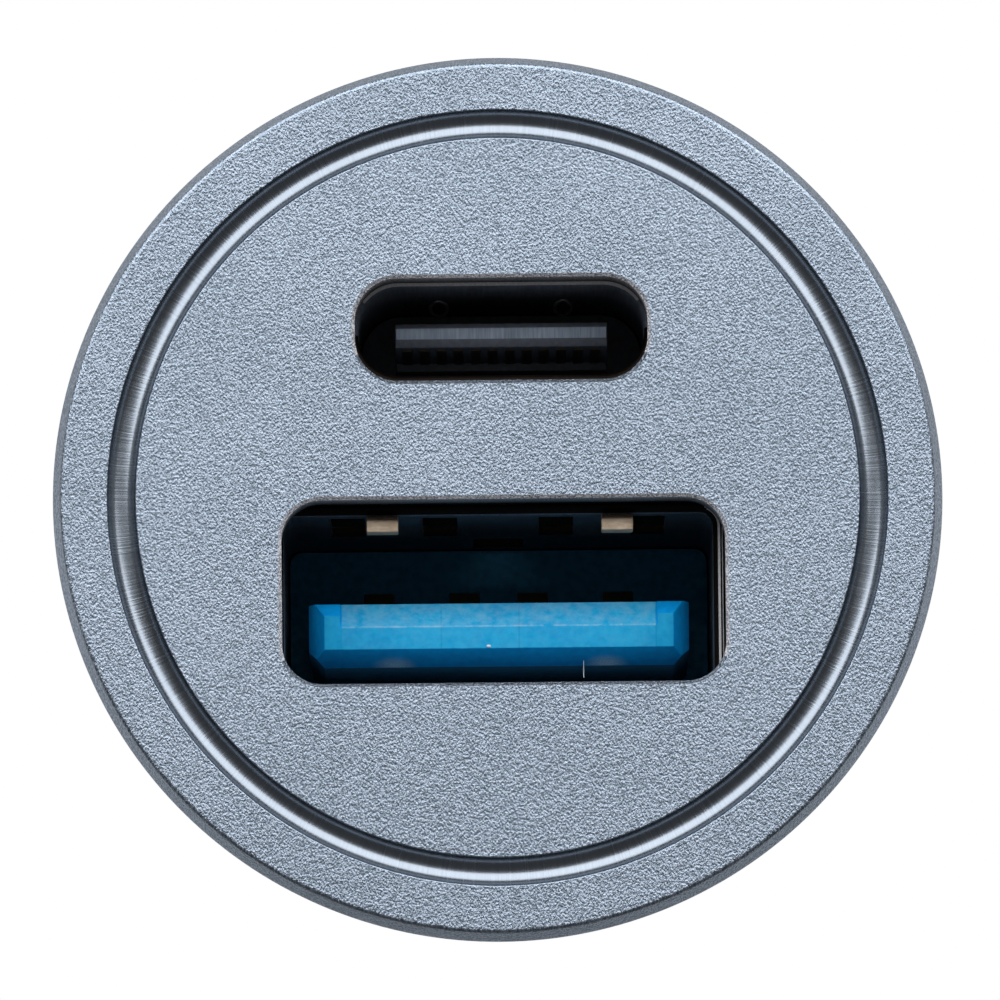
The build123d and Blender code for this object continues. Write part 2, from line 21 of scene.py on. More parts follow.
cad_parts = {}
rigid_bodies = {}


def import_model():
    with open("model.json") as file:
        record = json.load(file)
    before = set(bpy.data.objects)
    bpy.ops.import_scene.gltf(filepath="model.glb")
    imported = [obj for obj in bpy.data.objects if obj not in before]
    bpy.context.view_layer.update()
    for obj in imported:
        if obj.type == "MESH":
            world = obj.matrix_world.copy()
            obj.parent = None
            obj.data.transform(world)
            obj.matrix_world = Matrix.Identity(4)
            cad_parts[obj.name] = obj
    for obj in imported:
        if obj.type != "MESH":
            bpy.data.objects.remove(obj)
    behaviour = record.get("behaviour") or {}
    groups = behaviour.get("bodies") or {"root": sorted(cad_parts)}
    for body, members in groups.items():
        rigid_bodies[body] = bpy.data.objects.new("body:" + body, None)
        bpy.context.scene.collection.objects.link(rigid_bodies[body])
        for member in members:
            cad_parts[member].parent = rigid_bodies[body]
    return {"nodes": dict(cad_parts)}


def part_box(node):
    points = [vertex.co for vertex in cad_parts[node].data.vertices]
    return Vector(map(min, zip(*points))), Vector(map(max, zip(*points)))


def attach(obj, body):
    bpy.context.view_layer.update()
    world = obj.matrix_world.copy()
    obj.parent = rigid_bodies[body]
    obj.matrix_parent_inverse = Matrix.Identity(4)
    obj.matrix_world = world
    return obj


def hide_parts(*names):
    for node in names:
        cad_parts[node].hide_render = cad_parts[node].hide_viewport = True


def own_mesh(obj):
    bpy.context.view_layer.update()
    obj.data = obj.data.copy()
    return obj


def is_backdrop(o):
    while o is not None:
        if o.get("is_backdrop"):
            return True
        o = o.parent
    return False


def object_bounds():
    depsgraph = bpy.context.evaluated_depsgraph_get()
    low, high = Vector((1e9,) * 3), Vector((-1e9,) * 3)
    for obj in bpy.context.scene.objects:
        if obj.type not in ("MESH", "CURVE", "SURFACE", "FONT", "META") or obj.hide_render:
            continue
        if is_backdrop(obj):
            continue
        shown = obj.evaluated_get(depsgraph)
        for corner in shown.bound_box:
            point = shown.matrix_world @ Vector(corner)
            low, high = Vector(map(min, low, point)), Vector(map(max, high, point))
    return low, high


LOG = logging.getLogger("charger_plug")
MM = 0.001
ORIGIN = Vector((0.0, 0.0, 0.0))
AXIS = Vector((0.0, 1.0, 0.0))
UP = Vector((0.0, 0.0, 1.0))
SIDES = (-1, 1)
WELD_DISTANCE = 1e-7
SLOT_TOLERANCE = 1e-6
SHARP_ANGLE = math.radians(35.0)
FLAT_ANGLE = math.radians(0.5)
ROUNDING_SEGMENTS = 4
# Room beside a rounding for a plain corner, and the spare length that a run needs for it, in roundings
SUPPORT_REACH = 1.5
SUPPORT_SPARE = 1.1
# Values that noise mostly keeps to, and how quickly its finer layers fade in a grain
NOISE_SPAN = (0.3, 0.7)
GRAIN_ROUGHNESS = 0.55
# Parts of a face's normal along an axis, from nearly square to it up to nearly along it
SLIGHT, SLOPING, TURNED, STEEP, FACING = 0.2, 0.3, 0.5, 0.7, 0.95
# The same for a bevel of 45 degrees, with a little to spare
BEVELLED = 0.72


class Body(Enum):
    """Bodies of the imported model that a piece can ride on."""

    CHARGER = "charger"
    TIP = "tip"
    RIGHT_CLIP = "right_clip"
    LEFT_CLIP = "left_clip"


class Slot(Enum):
    """Material slots of the record."""

    SHELL = "shell_aluminium"
    BLUE = "blue_plastic"
    CONNECTOR = "connector_steel"
    GOLD = "contact_gold"
    DARK = "dark_plastic"
    NOSE = "nose_plastic"
    SPRING = "spring_steel"
    TIP = "tip_plating"


class Lay(Enum):
    """Ways in which the marks of a grain can lie."""

    STRAIGHT = "straight"
    ACROSS_GROOVE = "across_groove"
    ROUND_AXIS = "round_axis"


def linear(hex_colour: str) -> tuple[float, float, float, float]:
    """Turn an sRGB hex colour into linear RGBA.

    Args:
        hex_colour: Six hex digits after a hash sign.

    Returns:
        Red, green, blue and alpha as a shader socket takes them.
    """
    parts = [int(hex_colour[i : i + 2], 16) / 255 for i in (1, 3, 5)]
    red, green, blue = [c / 12.92 if c <= 0.04045 else ((c + 0.055) / 1.055) ** 2.4 for c in parts]
    return (red, green, blue, 1.0)


def fresh_tree(owner: Material | World) -> NodeTree:
    """Turn on the nodes of a material or world and clear them.

    Args:
        owner: The material or world.

    Returns:
        Its empty node tree.
    """
    owner.use_nodes = True
    owner.node_tree.nodes.clear()
    return owner.node_tree


def add_node(
    tree: NodeTree,
    kind: str,
    settings: dict | None = None,
    values: dict | None = None,
    links: dict | None = None,
) -> Node:
    """Add a node with its settings, socket values and incoming links.

    Args:
        tree: Node tree that gets the node.
        kind: Blender's name of the node's type.
        settings: Properties of the node itself.
        values: Values of input sockets, by name or place.
        links: Output sockets to link, or nodes for their first output in use, by the input's name or place.

    Returns:
        The new node.
    """
    node = tree.nodes.new(kind)
    for name, value in (settings or {}).items():
        setattr(node, name, value)
    for name, value in (values or {}).items():
        node.inputs[name].default_value = value
    for name, source in (links or {}).items():
        output = source if isinstance(source, NodeSocket) else next(o for o in source.outputs if o.enabled)
        tree.links.new(output, node.inputs[name])
    return node


def blend(tree: NodeTree, under: Node, over: str, share: Node, strength: float) -> Node:
    """Mix a second colour over the first by a share.

    Args:
        tree: Node tree of the material.
        under: Node that gives the first colour.
        over: Second colour, as sRGB hex.
        share: Node that gives the share of the second colour.
        strength: Factor on that share.

    Returns:
        The node that gives the mixed colour.
    """
    factor = add_node(tree, "ShaderNodeMath", {"operation": "MULTIPLY"}, {1: strength}, {0: share})
    links = {"Factor": factor, "A": under}
    return add_node(tree, "ShaderNodeMix", {"data_type": "RGBA"}, {"B": linear(over)}, links)


@dataclass(frozen=True)
class Finish:
    """A surface as it is made: its colour, gloss, and a grain of real size.

    The grain is a noise with one size along each axis, so that equal sizes give a blasted or moulded
    grain and a long size along one axis gives rolled, brushed or drawn lines.
    """

    name: str
    colour: str
    shade: str
    metallic: float
    roughness: float
    grain_mm: tuple[float, float, float]
    relief_mm: float = 0.0
    roughness_spread: float = 0.05
    cloud_mm: float = 4.0
    cloud: float = 0.1
    detail: float = 2.0
    contrast: float = 0.25
    ior: float = 1.5
    specular: float = 0.5
    lay: Lay = Lay.STRAIGHT
    groove_mm: float = 10.85

    def material(self) -> Material:
        """Make the material.

        Returns:
            A new material named for the finish.
        """
        material = bpy.data.materials.new(self.name)
        tree = fresh_tree(material)
        place = add_node(tree, "ShaderNodeTexCoord").outputs["Object"]
        grain = self.grain(tree, place)
        links = {"Base Color": self.colours(tree, place, grain), "Roughness": self.gloss(tree, grain)}
        if self.relief_mm:
            height = {"Strength": 1.0, "Distance": self.relief_mm * MM}
            links["Normal"] = add_node(tree, "ShaderNodeBump", values=height, links={"Height": grain})
        body = {"Metallic": self.metallic, "IOR": self.ior, "Specular IOR Level": self.specular}
        shader = add_node(tree, "ShaderNodeBsdfPrincipled", values=body, links=links)
        add_node(tree, "ShaderNodeOutputMaterial", links={"Surface": shader})
        return material

    def grain(self, tree: NodeTree, place: NodeSocket) -> Node:
        """Noise whose grains have the finish's real sizes.

        Args:
            tree: Node tree of the material.
            place: Coordinates on the piece.

        Returns:
            The noise, whose value is about 0.5 on average.
        """
        sizes = {"Scale": [1.0 / (size * MM) for size in self.grain_mm]}
        scaled = add_node(
            tree, "ShaderNodeMapping", values=sizes, links={"Vector": self.laid(tree, place)}
        )
        layers = {"Scale": 1.0, "Detail": self.detail, "Roughness": GRAIN_ROUGHNESS}
        return add_node(tree, "ShaderNodeTexNoise", values=layers, links={"Vector": scaled})

    def laid(self, tree: NodeTree, place: NodeSocket) -> Node | NodeSocket:
        """Coordinates for the grain: straight, or round the axis so that marks cross a groove or are rings.

        Args:
            tree: Node tree of the material.
            place: Coordinates on the piece.

        Returns:
            The node or socket that gives them.
        """
        if self.lay is Lay.STRAIGHT:
            return place
        kind = "ShaderNodeVectorMath"
        across = add_node(tree, kind, {"operation": "MULTIPLY"}, {1: (1.0, 0.0, 1.0)}, {0: place})
        if self.lay is Lay.ACROSS_GROOVE:
            way = add_node(tree, kind, {"operation": "NORMALIZE"}, links={0: across})
            return add_node(tree, kind, {"operation": "SCALE"}, {"Scale": self.groove_mm * MM}, {0: way})
        radius = add_node(tree, kind, {"operation": "LENGTH"}, links={0: across})
        parts = add_node(tree, "ShaderNodeSeparateXYZ", links={"Vector": place})
        return add_node(tree, "ShaderNodeCombineXYZ", links={"X": radius, "Y": parts.outputs["Y"]})

    def colours(self, tree: NodeTree, place: NodeSocket, grain: Node) -> Node:
        """Colour that darkens to the shade in the grain's pits and in wide soft clouds.

        Args:
            tree: Node tree of the material.
            place: Coordinates on the piece.
            grain: Node that gives the grain.

        Returns:
            The node that gives the base colour.
        """
        cloud_size = {"Scale": 1.0 / (self.cloud_mm * MM), "Detail": 1.0}
        clouds = add_node(tree, "ShaderNodeTexNoise", values=cloud_size, links={"Vector": place})
        low, high = NOISE_SPAN
        spread = {"From Min": low, "From Max": high, "To Min": -self.cloud, "To Max": self.cloud}
        clouded = add_node(tree, "ShaderNodeMapRange", values=spread, links={"Value": clouds})
        pits = {"From Min": 0.5 + self.contrast, "From Max": 0.5 - self.contrast}
        pitted = add_node(tree, "ShaderNodeMapRange", values=pits, links={"Value": grain})
        adding = {"operation": "ADD", "use_clamp": True}
        share = add_node(tree, "ShaderNodeMath", adding, links={0: pitted, 1: clouded})
        ends = {"A": linear(self.colour), "B": linear(self.shade)}
        return add_node(tree, "ShaderNodeMix", {"data_type": "RGBA"}, ends, {"Factor": share})

    def gloss(self, tree: NodeTree, grain: Node) -> Node:
        """Roughness that varies with the grain.

        Args:
            tree: Node tree of the material.
            grain: Node that gives the grain.

        Returns:
            The node that gives the roughness.
        """
        spread = {
            "From Min": NOISE_SPAN[0],
            "From Max": NOISE_SPAN[1],
            "To Min": self.roughness - self.roughness_spread,
            "To Max": self.roughness + self.roughness_spread,
        }
        return add_node(tree, "ShaderNodeMapRange", values=spread, links={"Value": grain})


@dataclass(frozen=True)
class DepthShadedWall(Finish):
    """Wall of an opening, with painted shade that darkens it further in from the face."""

    face_mm: float = -7.0
    shade_fade_mm: float = 1.15
    painted_shade_colour: str = "#2C2723"

    def colours(self, tree: NodeTree, place: NodeSocket, grain: Node) -> Node:
        """Colour that goes over to the painted shade colour behind the face.

        Args:
            tree: Node tree of the material.
            place: Coordinates on the piece.
            grain: Node that gives the grain.

        Returns:
            The node that gives the base colour.
        """
        parts = add_node(tree, "ShaderNodeSeparateXYZ", links={"Vector": place})
        # Painted shade: darker over the given depth behind the face
        fade = {"From Min": self.face_mm * MM, "From Max": (self.face_mm + self.shade_fade_mm) * MM}
        depth = add_node(tree, "ShaderNodeMapRange", values=fade, links={"Value": parts.outputs["Y"]})
        return blend(tree, super().colours(tree, place, grain), self.painted_shade_colour, depth, 1.0)


@dataclass(frozen=True)
class ScuffedPolyesterWithGlints(Finish):
    """Moulded plastic with the seams of its mould, pale scuffs where plugs slide in, a painted highlight line
    along the ramp's foot and two rubbed spots whose white is partly a painted glint.
    """

    seams_mm: tuple[float, ...] = (-1.68, 0.59, 4.58)
    seam_width_mm: float = 0.05
    seam_strength: float = 0.22
    seam_colour: str = "#12699C"
    scuff_colour: str = "#9CC3D8"
    scuff_mm: float = 0.3
    scuff_layers: tuple[float, float] = (4.0, 0.65)
    scuff_span: tuple[float, float] = (0.35, 0.75)
    ramp_half_mm: float = 4.57
    ramp_foot_mm: float = -3.455
    foot_blur_mm: float = 0.02
    ramp_scuff: float = 0.36
    flat_scuff: float = 0.08
    # A painted highlight line along the ramp's foot
    foot_highlight_mm: float = 0.05
    foot_highlight: float = 0.7
    # Rubbed spots, whose near white is partly a painted glint
    rub_and_glint_spots_mm: tuple[tuple[float, float], ...] = ((-3.05, -4.55), (3.12, -4.55))
    rub_and_glint_reach_mm: tuple[float, float] = (0.78, 0.3)
    rub_and_glint_strength: float = 0.95
    rub_and_glint_patch: float = 0.6
    rub_and_glint_colour: str = "#BDE9FF"
    speckle_mm: float = 0.06

    def colours(self, tree: NodeTree, place: NodeSocket, grain: Node) -> Node:
        """Plain moulded colour with the seams, the scuffs, the painted highlight line and the rubbed spots
        with their painted glint on it.

        Args:
            tree: Node tree of the material.
            place: Coordinates on the piece.
            grain: Node that gives the grain.

        Returns:
            The node that gives the base colour.
        """
        parts = add_node(tree, "ShaderNodeSeparateXYZ", links={"Vector": place})
        colour = super().colours(tree, place, grain)
        for seam in self.seams_mm:
            line = {1: seam * MM, 2: self.seam_width_mm / 2 * MM}
            near = add_node(tree, "ShaderNodeMath", {"operation": "COMPARE"}, line, {0: parts.outputs["X"]})
            colour = blend(tree, colour, self.seam_colour, near, self.seam_strength)
        colour = blend(tree, colour, self.scuff_colour, self.scuffs(tree, place, parts), 1.0)
        for spot in self.rub_and_glint_spots_mm:
            colour = blend(tree, colour, self.rub_and_glint_colour, self.rub_and_glint(tree, place, spot), self.rub_and_glint_strength)
        return colour

    def rub_and_glint(self, tree: NodeTree, place: NodeSocket, spot: tuple[float, float]) -> Node:
        """Soft, speckled share of a rubbed spot, whose white is partly a painted glint.

        Args:
            tree: Node tree of the material.
            place: Coordinates on the piece.
            spot: Place of the spot's middle across and up, in millimetres.

        Returns:
            The node that gives the share.
        """
        wide, tall = [1.0 / reach for reach in self.rub_and_glint_reach_mm]
        centred = {
            "Location": (-spot[0] * wide, 0.0, -spot[1] * tall),
            "Scale": (wide / MM, 0.0, tall / MM),
        }
        local = add_node(tree, "ShaderNodeMapping", values=centred, links={"Vector": place})
        away = add_node(tree, "ShaderNodeVectorMath", {"operation": "LENGTH"}, links={0: local})
        fine = {"Scale": 1.0 / (self.speckle_mm * MM), "Detail": 1.0}
        speckle = add_node(tree, "ShaderNodeTexNoise", values=fine, links={"Vector": place})
        low, high = NOISE_SPAN
        patches = {"From Min": low, "From Max": high, "To Min": self.rub_and_glint_patch, "To Max": 1.0}
        patchy = add_node(tree, "ShaderNodeMapRange", values=patches, links={"Value": speckle})
        soft = {"interpolation_type": "SMOOTHSTEP"}
        ends = {"From Min": 1.0, "From Max": 0.0}
        return add_node(tree, "ShaderNodeMapRange", soft, ends, {"Value": away, "To Max": patchy})

    def scuffs(self, tree: NodeTree, place: NodeSocket, parts: Node) -> Node:
        """Patchy share of pale scuffs and a painted highlight: most along the ramp's foot, where the painted
        highlight line lies, less on the ramp, least below it.

        Args:
            tree: Node tree of the material.
            place: Coordinates on the piece.
            parts: Node that gives those coordinates one by one.

        Returns:
            The node that gives the share.
        """
        height = parts.outputs["Z"]
        detail, fading = self.scuff_layers
        patches = {"Scale": 1.0 / (self.scuff_mm * MM), "Detail": detail, "Roughness": fading}
        rubbed = add_node(tree, "ShaderNodeTexNoise", values=patches, links={"Vector": place})
        steps = {
            "From Min": (self.ramp_foot_mm - self.foot_blur_mm) * MM,
            "From Max": (self.ramp_foot_mm + self.foot_blur_mm) * MM,
            "To Min": self.flat_scuff,
            "To Max": self.ramp_scuff,
        }
        amount = add_node(tree, "ShaderNodeMapRange", values=steps, links={"Value": height})
        # The line along the ramp's foot is a painted highlight
        line = {1: self.ramp_foot_mm * MM, 2: self.foot_highlight_mm / 2 * MM}
        foot = add_node(tree, "ShaderNodeMath", {"operation": "COMPARE"}, line, {0: height})
        adding = {"operation": "MULTIPLY_ADD"}
        most = add_node(tree, "ShaderNodeMath", adding, {1: self.foot_highlight}, {0: foot, 2: amount})
        span = {"From Min": self.scuff_span[0], "From Max": self.scuff_span[1]}
        patchy = add_node(tree, "ShaderNodeMapRange", values=span, links={"Value": rubbed, "To Max": most})
        width = {1: 0.0, 2: self.ramp_half_mm * MM}
        on_ramp = add_node(tree, "ShaderNodeMath", {"operation": "COMPARE"}, width, {0: parts.outputs["X"]})
        return add_node(tree, "ShaderNodeMath", {"operation": "MULTIPLY"}, links={0: patchy, 1: on_ramp})


# Bead-blasted, blue-grey anodised aluminium: small round dents give bright and dark specks of about 0.07 mm.
BLASTED_ALUMINIUM = Finish(
    "blasted_anodised_aluminium", "#A1ADBD", "#76828F", 1.0, 0.36, (0.05, 0.06, 0.075), 0.021,
    cloud_mm=6.0, detail=1.0, contrast=0.13,
)
# The groove is turned after blasting, so it mirrors its surroundings, with fine chatter marks across it.
TURNED_ALUMINIUM = Finish(
    "turned_anodised_aluminium", "#8A929C", "#7B838D", 1.0, 0.25, (0.055, 0.055, 0.055), 0.004,
    roughness_spread=0.03, lay=Lay.ACROSS_GROOVE,
)
# Walls of the openings: milled aluminium, with painted shade that makes them browner and darker further in
# from the face.
MILLED_ALUMINIUM = DepthShadedWall(
    "milled_aluminium_wall", "#D3D6DE", "#6F6F76", 0.0, 0.65, (0.06, 0.06, 0.06), 0.05,
    cloud_mm=3.0, contrast=0.14,
)
# Moulded polyester in the blue of a fast port: satin, with mould seams, a scuffed ramp and a painted
# highlight line along the ramp's foot.
BLUE_POLYESTER = ScuffedPolyesterWithGlints(
    "moulded_blue_polyester", "#28A8DA", "#1A97D0", 0.0, 0.5, (0.25, 0.25, 0.25), 0.004,
    cloud_mm=1.6, cloud=0.3, ior=1.57, specular=0.03, rub_and_glint_spots_mm=(),
)
# Bevels and sides of that plastic, which no plug scuffs: a deeper blue as painted shade, with two rubbed
# spots whose white is partly a painted glint.
SHADED_RUBBED_BEVEL_POLYESTER = ScuffedPolyesterWithGlints(
    "shaded_rubbed_bevel_polyester", "#0CA3F1", "#0A92DF", 0.0, 0.5, (0.25, 0.25, 0.25), 0.004,
    cloud_mm=1.6, ior=1.57, specular=0.05, seams_mm=(), ramp_scuff=0.0, flat_scuff=0.0, foot_highlight=0.0,
)
# The same plastic on the back block and on downward faces: greyer and darker as painted shade.
SHADED_BACK_POLYESTER = Finish(
    "shaded_back_blue_polyester", "#367AA1", "#2A6485", 0.0, 0.6, (0.25, 0.25, 0.25), 0.004, ior=1.57, specular=0.05
)
# Glass-filled nylon, moulded dark grey.
DARK_NYLON = Finish(
    "moulded_dark_nylon", "#565C66", "#464B53", 0.0, 0.5, (0.16, 0.16, 0.16), 0.003, cloud_mm=2.0, ior=1.53
)
# End of the USB-C tongue: grey, with fine upright lines rubbed by plugs.
RUBBED_TONGUE = Finish(
    "rubbed_tongue_end", "#8F9DAF", "#6D7A8B", 0.0, 0.55, (0.05, 1.5, 0.9), 0.01, cloud_mm=0.8, cloud=0.25
)
# Sheared edges of the socket's sheet and the lower front of the USB-C shell: bare, dull and brown steel,
# darkened to near black as painted shade.
SHEARED_STEEL_SHADE = Finish(
    "sheared_steel_edge_shade", "#2A2420", "#1A1613", 1.0, 0.6, (0.05, 0.05, 0.05), 0.004, cloud_mm=0.8
)
# Dust and lint: white, dull.
COTTON_LINT = Finish("cotton_lint", "#E2E9EE", "#BCC6CF", 0.0, 0.8, (0.02, 0.02, 0.02), ior=1.53)
# Polycarbonate and ABS in black, with the fine texture of a spark-eroded mould.
BLACK_ABS = Finish(
    "moulded_black_abs", "#222325", "#17181A", 0.0, 0.5, (0.22, 0.22, 0.22), 0.012, cloud_mm=5.0
)
# Bare brass where the plating of the sprung contacts has worn: tan, with drawn marks, painted nearly white as
# a painted glint.
WORN_BRASS_GLINT = Finish(
    "worn_brass_contact_glint", "#FFE9CF", "#DBC0A2", 0.15, 0.45, (0.3, 0.1, 0.1), 0.006, cloud_mm=0.4, cloud=0.3
)
# Nickel-plated steel sheet: rolled lines along the socket, soft stains.
NICKEL_SHEET = Finish(
    "nickel_plated_sheet", "#66737E", "#4C5761", 0.4, 0.5, (0.06, 2.5, 0.06), 0.0008, cloud_mm=1.5, cloud=0.2
)
# Dull nickel of the drawn socket: matte, a little blue, with a trace of the draw.
DULL_NICKEL = Finish(
    "dull_drawn_nickel", "#6A727F", "#4F5762", 0.3, 0.7, (0.08, 2.0, 0.08), 0.001, cloud_mm=1.5, cloud=0.2
)
# Lips of both sockets where plugs rubbed them: worn satin, made paler as a painted highlight.
SATIN_NICKEL_HIGHLIGHT = Finish(
    "satin_nickel_lip_highlight", "#C4C5C8", "#A3A4A8", 0.2, 0.6, (0.08, 0.08, 0.08), 0.001, cloud_mm=1.0
)
# Crowns of the embossed ovals, rubbed by plugs and painted far paler than the shell as a painted sheen.
RUBBED_NICKEL_SHEEN = Finish(
    "rubbed_nickel_crown_sheen", "#E4E6EA", "#C3C7CE", 0.2, 0.6, (0.08, 1.0, 0.08), 0.001, cloud_mm=1.0
)
# Bright rolled spring steel, with grinding lines along the leaf.
SPRING_STEEL = Finish(
    "rolled_spring_steel", "#C4C3BF", "#A3A29E", 1.0, 0.27, (0.05, 3.0, 0.05), 0.001, cloud_mm=3.0
)
# Nickel-plated brass, turned: fine rings round the tip, nearly a mirror.
TIP_NICKEL = Finish(
    "turned_nickel_plating", "#CFCAC0", "#B4AEA3", 1.0, 0.18, (0.06, 0.06, 1.0), 0.0008,
    cloud_mm=2.5, lay=Lay.ROUND_AXIS,
)
# Gold flash on copper alloy, dulled.
GOLD_FLASH = Finish(
    "gold_flashed_contact", "#5F5748", "#433D33", 1.0, 0.4, (0.05, 0.6, 0.05), 0.0006, cloud_mm=0.8
)
# Glass-fibre board under green solder mask.
SOLDER_MASK = Finish(
    "green_solder_mask", "#1F6B3C", "#134726", 0.0, 0.35, (0.35, 0.35, 0.35), 0.006, cloud_mm=2.5, cloud=0.35
)
# Epoxy moulding of a chip: black with fine glass speckle.
CHIP_EPOXY = Finish("moulded_chip_epoxy", "#2A2A2C", "#1B1B1D", 0.0, 0.55, (0.12, 0.12, 0.12), 0.004)
# Pressed iron powder of a choke: grey and speckled.
IRON_POWDER = Finish("pressed_iron_powder", "#5A5A5C", "#3C3C3E", 0.1, 0.6, (0.15, 0.15, 0.15), 0.01)
# Tinned copper leads: silvery, slightly dull.
TINNED_COPPER = Finish("tinned_copper", "#C9C9C6", "#A8A8A5", 1.0, 0.35, (0.1, 0.4, 0.1), 0.002)
# Drawn aluminium can: bright, with lines along the draw.
DRAWN_ALUMINIUM = Finish("drawn_aluminium_can", "#C6C8CA", "#A7A9AB", 1.0, 0.3, (0.08, 2.0, 0.08), 0.001)
# Fired ceramic of small chip parts: tan and matte.
FIRED_CERAMIC = Finish("fired_chip_ceramic", "#A98A66", "#8C6F4F", 0.0, 0.5, (0.2, 0.2, 0.2), 0.002)


class Wardrobe:
    """Keeps one material for each finish."""

    def __init__(self) -> None:
        """Start with no materials."""
        self.made: dict[str, Material] = {}

    def dress(self, mesh: bpy.types.Mesh, finishes: Sequence[Finish]) -> None:
        """Give a mesh the materials of its finishes, each made on first use.

        Args:
            mesh: The mesh.
            finishes: Its finishes, in the order of the faces' material numbers.
        """
        mesh.materials.clear()
        for finish in finishes:
            if finish.name not in self.made:
                self.made[finish.name] = finish.material()
            mesh.materials.append(self.made[finish.name])


WARDROBE = Wardrobe()


@dataclass
class Corner:
    """A corner of a turned profile.

    Attributes:
        radius: Distance from the plug's axis.
        station: Place along the axis.
        rounding: Length that the rounding takes from each neighbouring run.
    """

    radius: float
    station: float
    rounding: float = 0.0


def supported(corners: Sequence[Corner]) -> list[Corner]:
    """Add a plain corner beside each rounding, so that the straight runs shade straight.

    Args:
        corners: Corners of a profile, in order.

    Returns:
        The corners with those beside the roundings.
    """
    full = [corners[0]]
    for start, end in zip(corners, corners[1:]):
        run = Vector((end.radius - start.radius, end.station - start.station))
        takes = [SUPPORT_REACH * corner.rounding for corner in (start, end)]
        if run.length > SUPPORT_SPARE * sum(takes):
            shares = [takes[0] / run.length, 1 - takes[1] / run.length]
            kept = [share for share, take in zip(shares, takes) if take]
            full += [Corner(start.radius + share * run.x, start.station + share * run.y) for share in kept]
        full.append(end)
    return full


def round_off(
    bm: BMesh, geom: Sequence[BMVert | BMEdge], width: float, segments: int = 2
) -> list[BMVert]:
    """Round the vertices of an outline or the edges of a surface off.

    Args:
        bm: Mesh of the vertices or edges.
        geom: The vertices or the edges.
        width: Width of the rounding.
        segments: Runs across it.

    Returns:
        The new vertices.
    """
    on_edges = all(isinstance(part, BMEdge) for part in geom)
    made = bmesh.ops.bevel(
        bm,
        geom=list(geom),
        offset=width,
        offset_type="OFFSET",
        segments=segments,
        profile=0.5,
        affect="EDGES" if on_edges else "VERTICES",
        clamp_overlap=on_edges,
        material=-1,
    )
    return made["verts"]


def spin_profile(corners: Sequence[Corner], steps: int) -> BMesh:
    """Spin a profile with rounded corners about the plug's axis.

    Args:
        corners: Corners of the profile, in order.
        steps: Faces in a full turn.

    Returns:
        The new mesh.
    """
    bm = bmesh.new()
    run = supported(corners)
    verts = [bm.verts.new((c.radius, c.station, 0.0)) for c in run]
    for start, end in zip(verts, verts[1:]):
        bm.edges.new((start, end))
    for corner, vert in zip(run, verts):
        if corner.rounding:
            round_off(bm, [vert], corner.rounding, ROUNDING_SEGMENTS)
    bmesh.ops.spin(
        bm,
        geom=bm.verts[:] + bm.edges[:],
        cent=ORIGIN,
        axis=AXIS,
        angle=math.tau,
        steps=steps,
        use_merge=True,
        use_duplicate=False,
    )
    bmesh.ops.remove_doubles(bm, verts=bm.verts[:], dist=WELD_DISTANCE)
    return bm


def arc_corners(start: Corner, end: Corner, depth: float, steps: int) -> list[Corner]:
    """Corners along a circular arc that dips behind a straight line across the face.

    Args:
        start: First lip of the arc.
        end: Second lip, at the same station.
        depth: Depth of the arc's middle.
        steps: Straight runs along the arc.

    Returns:
        The corners between the two lips.
    """
    half = (end.radius - start.radius) / 2
    arc_radius = (half**2 + depth**2) / (2 * depth)
    middle = (start.radius + end.radius) / 2
    centre = start.station + depth - arc_radius
    reach = math.acos((arc_radius - depth) / arc_radius)
    angles = [reach * (2 * i / steps - 1) for i in range(1, steps)]
    return [Corner(middle + arc_radius * math.sin(a), centre + arc_radius * math.cos(a)) for a in angles]


def finish_shading(bm: BMesh) -> None:
    """Point all faces outwards, shade them smooth and mark their sharp edges.

    Args:
        bm: A closed mesh.
    """
    bmesh.ops.recalc_face_normals(bm, faces=bm.faces[:])
    for face in bm.faces:
        face.smooth = True
    for edge in bm.edges:
        edge.smooth = len(edge.link_faces) == 2 and edge.calc_face_angle() < SHARP_ANGLE


def new_piece(
    name: str, bm: BMesh, finishes: Sequence[Finish], body: Body, slot: Slot, *nodes: str
) -> Object:
    """Make an object of a mesh, dress it and set it on a body in place of CAD nodes.

    Args:
        name: Name of the piece.
        bm: Its mesh, which is freed.
        finishes: Its finishes, in the order of the faces' material numbers.
        body: Body that it rides on.
        slot: Material slot of the record; not used.
        nodes: CAD nodes that it stands for.

    Returns:
        The new object.
    """
    mesh = bpy.data.meshes.new(name)
    WARDROBE.dress(mesh, finishes)
    bm.to_mesh(mesh)
    bm.free()
    piece = bpy.data.objects.new(name, mesh)
    bpy.context.scene.collection.objects.link(piece)
    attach(piece, body.value)
    if nodes:
        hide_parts(*nodes)
    return piece


def softened_copy(node: Object, width: float, shape: Callable[[BMesh], None] | None = None) -> BMesh:
    """Copy a CAD node's mesh, with its sharp edges rounded off.

    Args:
        node: The node's object.
        width: Width of the rounding.
        shape: Changes the mesh before it is rounded.

    Returns:
        The new mesh.
    """
    bm = bmesh.new()
    bm.from_mesh(node.data)
    bmesh.ops.remove_doubles(bm, verts=bm.verts[:], dist=WELD_DISTANCE)
    bmesh.ops.dissolve_limit(
        bm, angle_limit=FLAT_ANGLE, use_dissolve_boundaries=False, verts=bm.verts[:], edges=bm.edges[:]
    )
    if shape:
        shape(bm)
    round_off(bm, sharp_edges(bm), width)
    finish_shading(bm)
    return bm


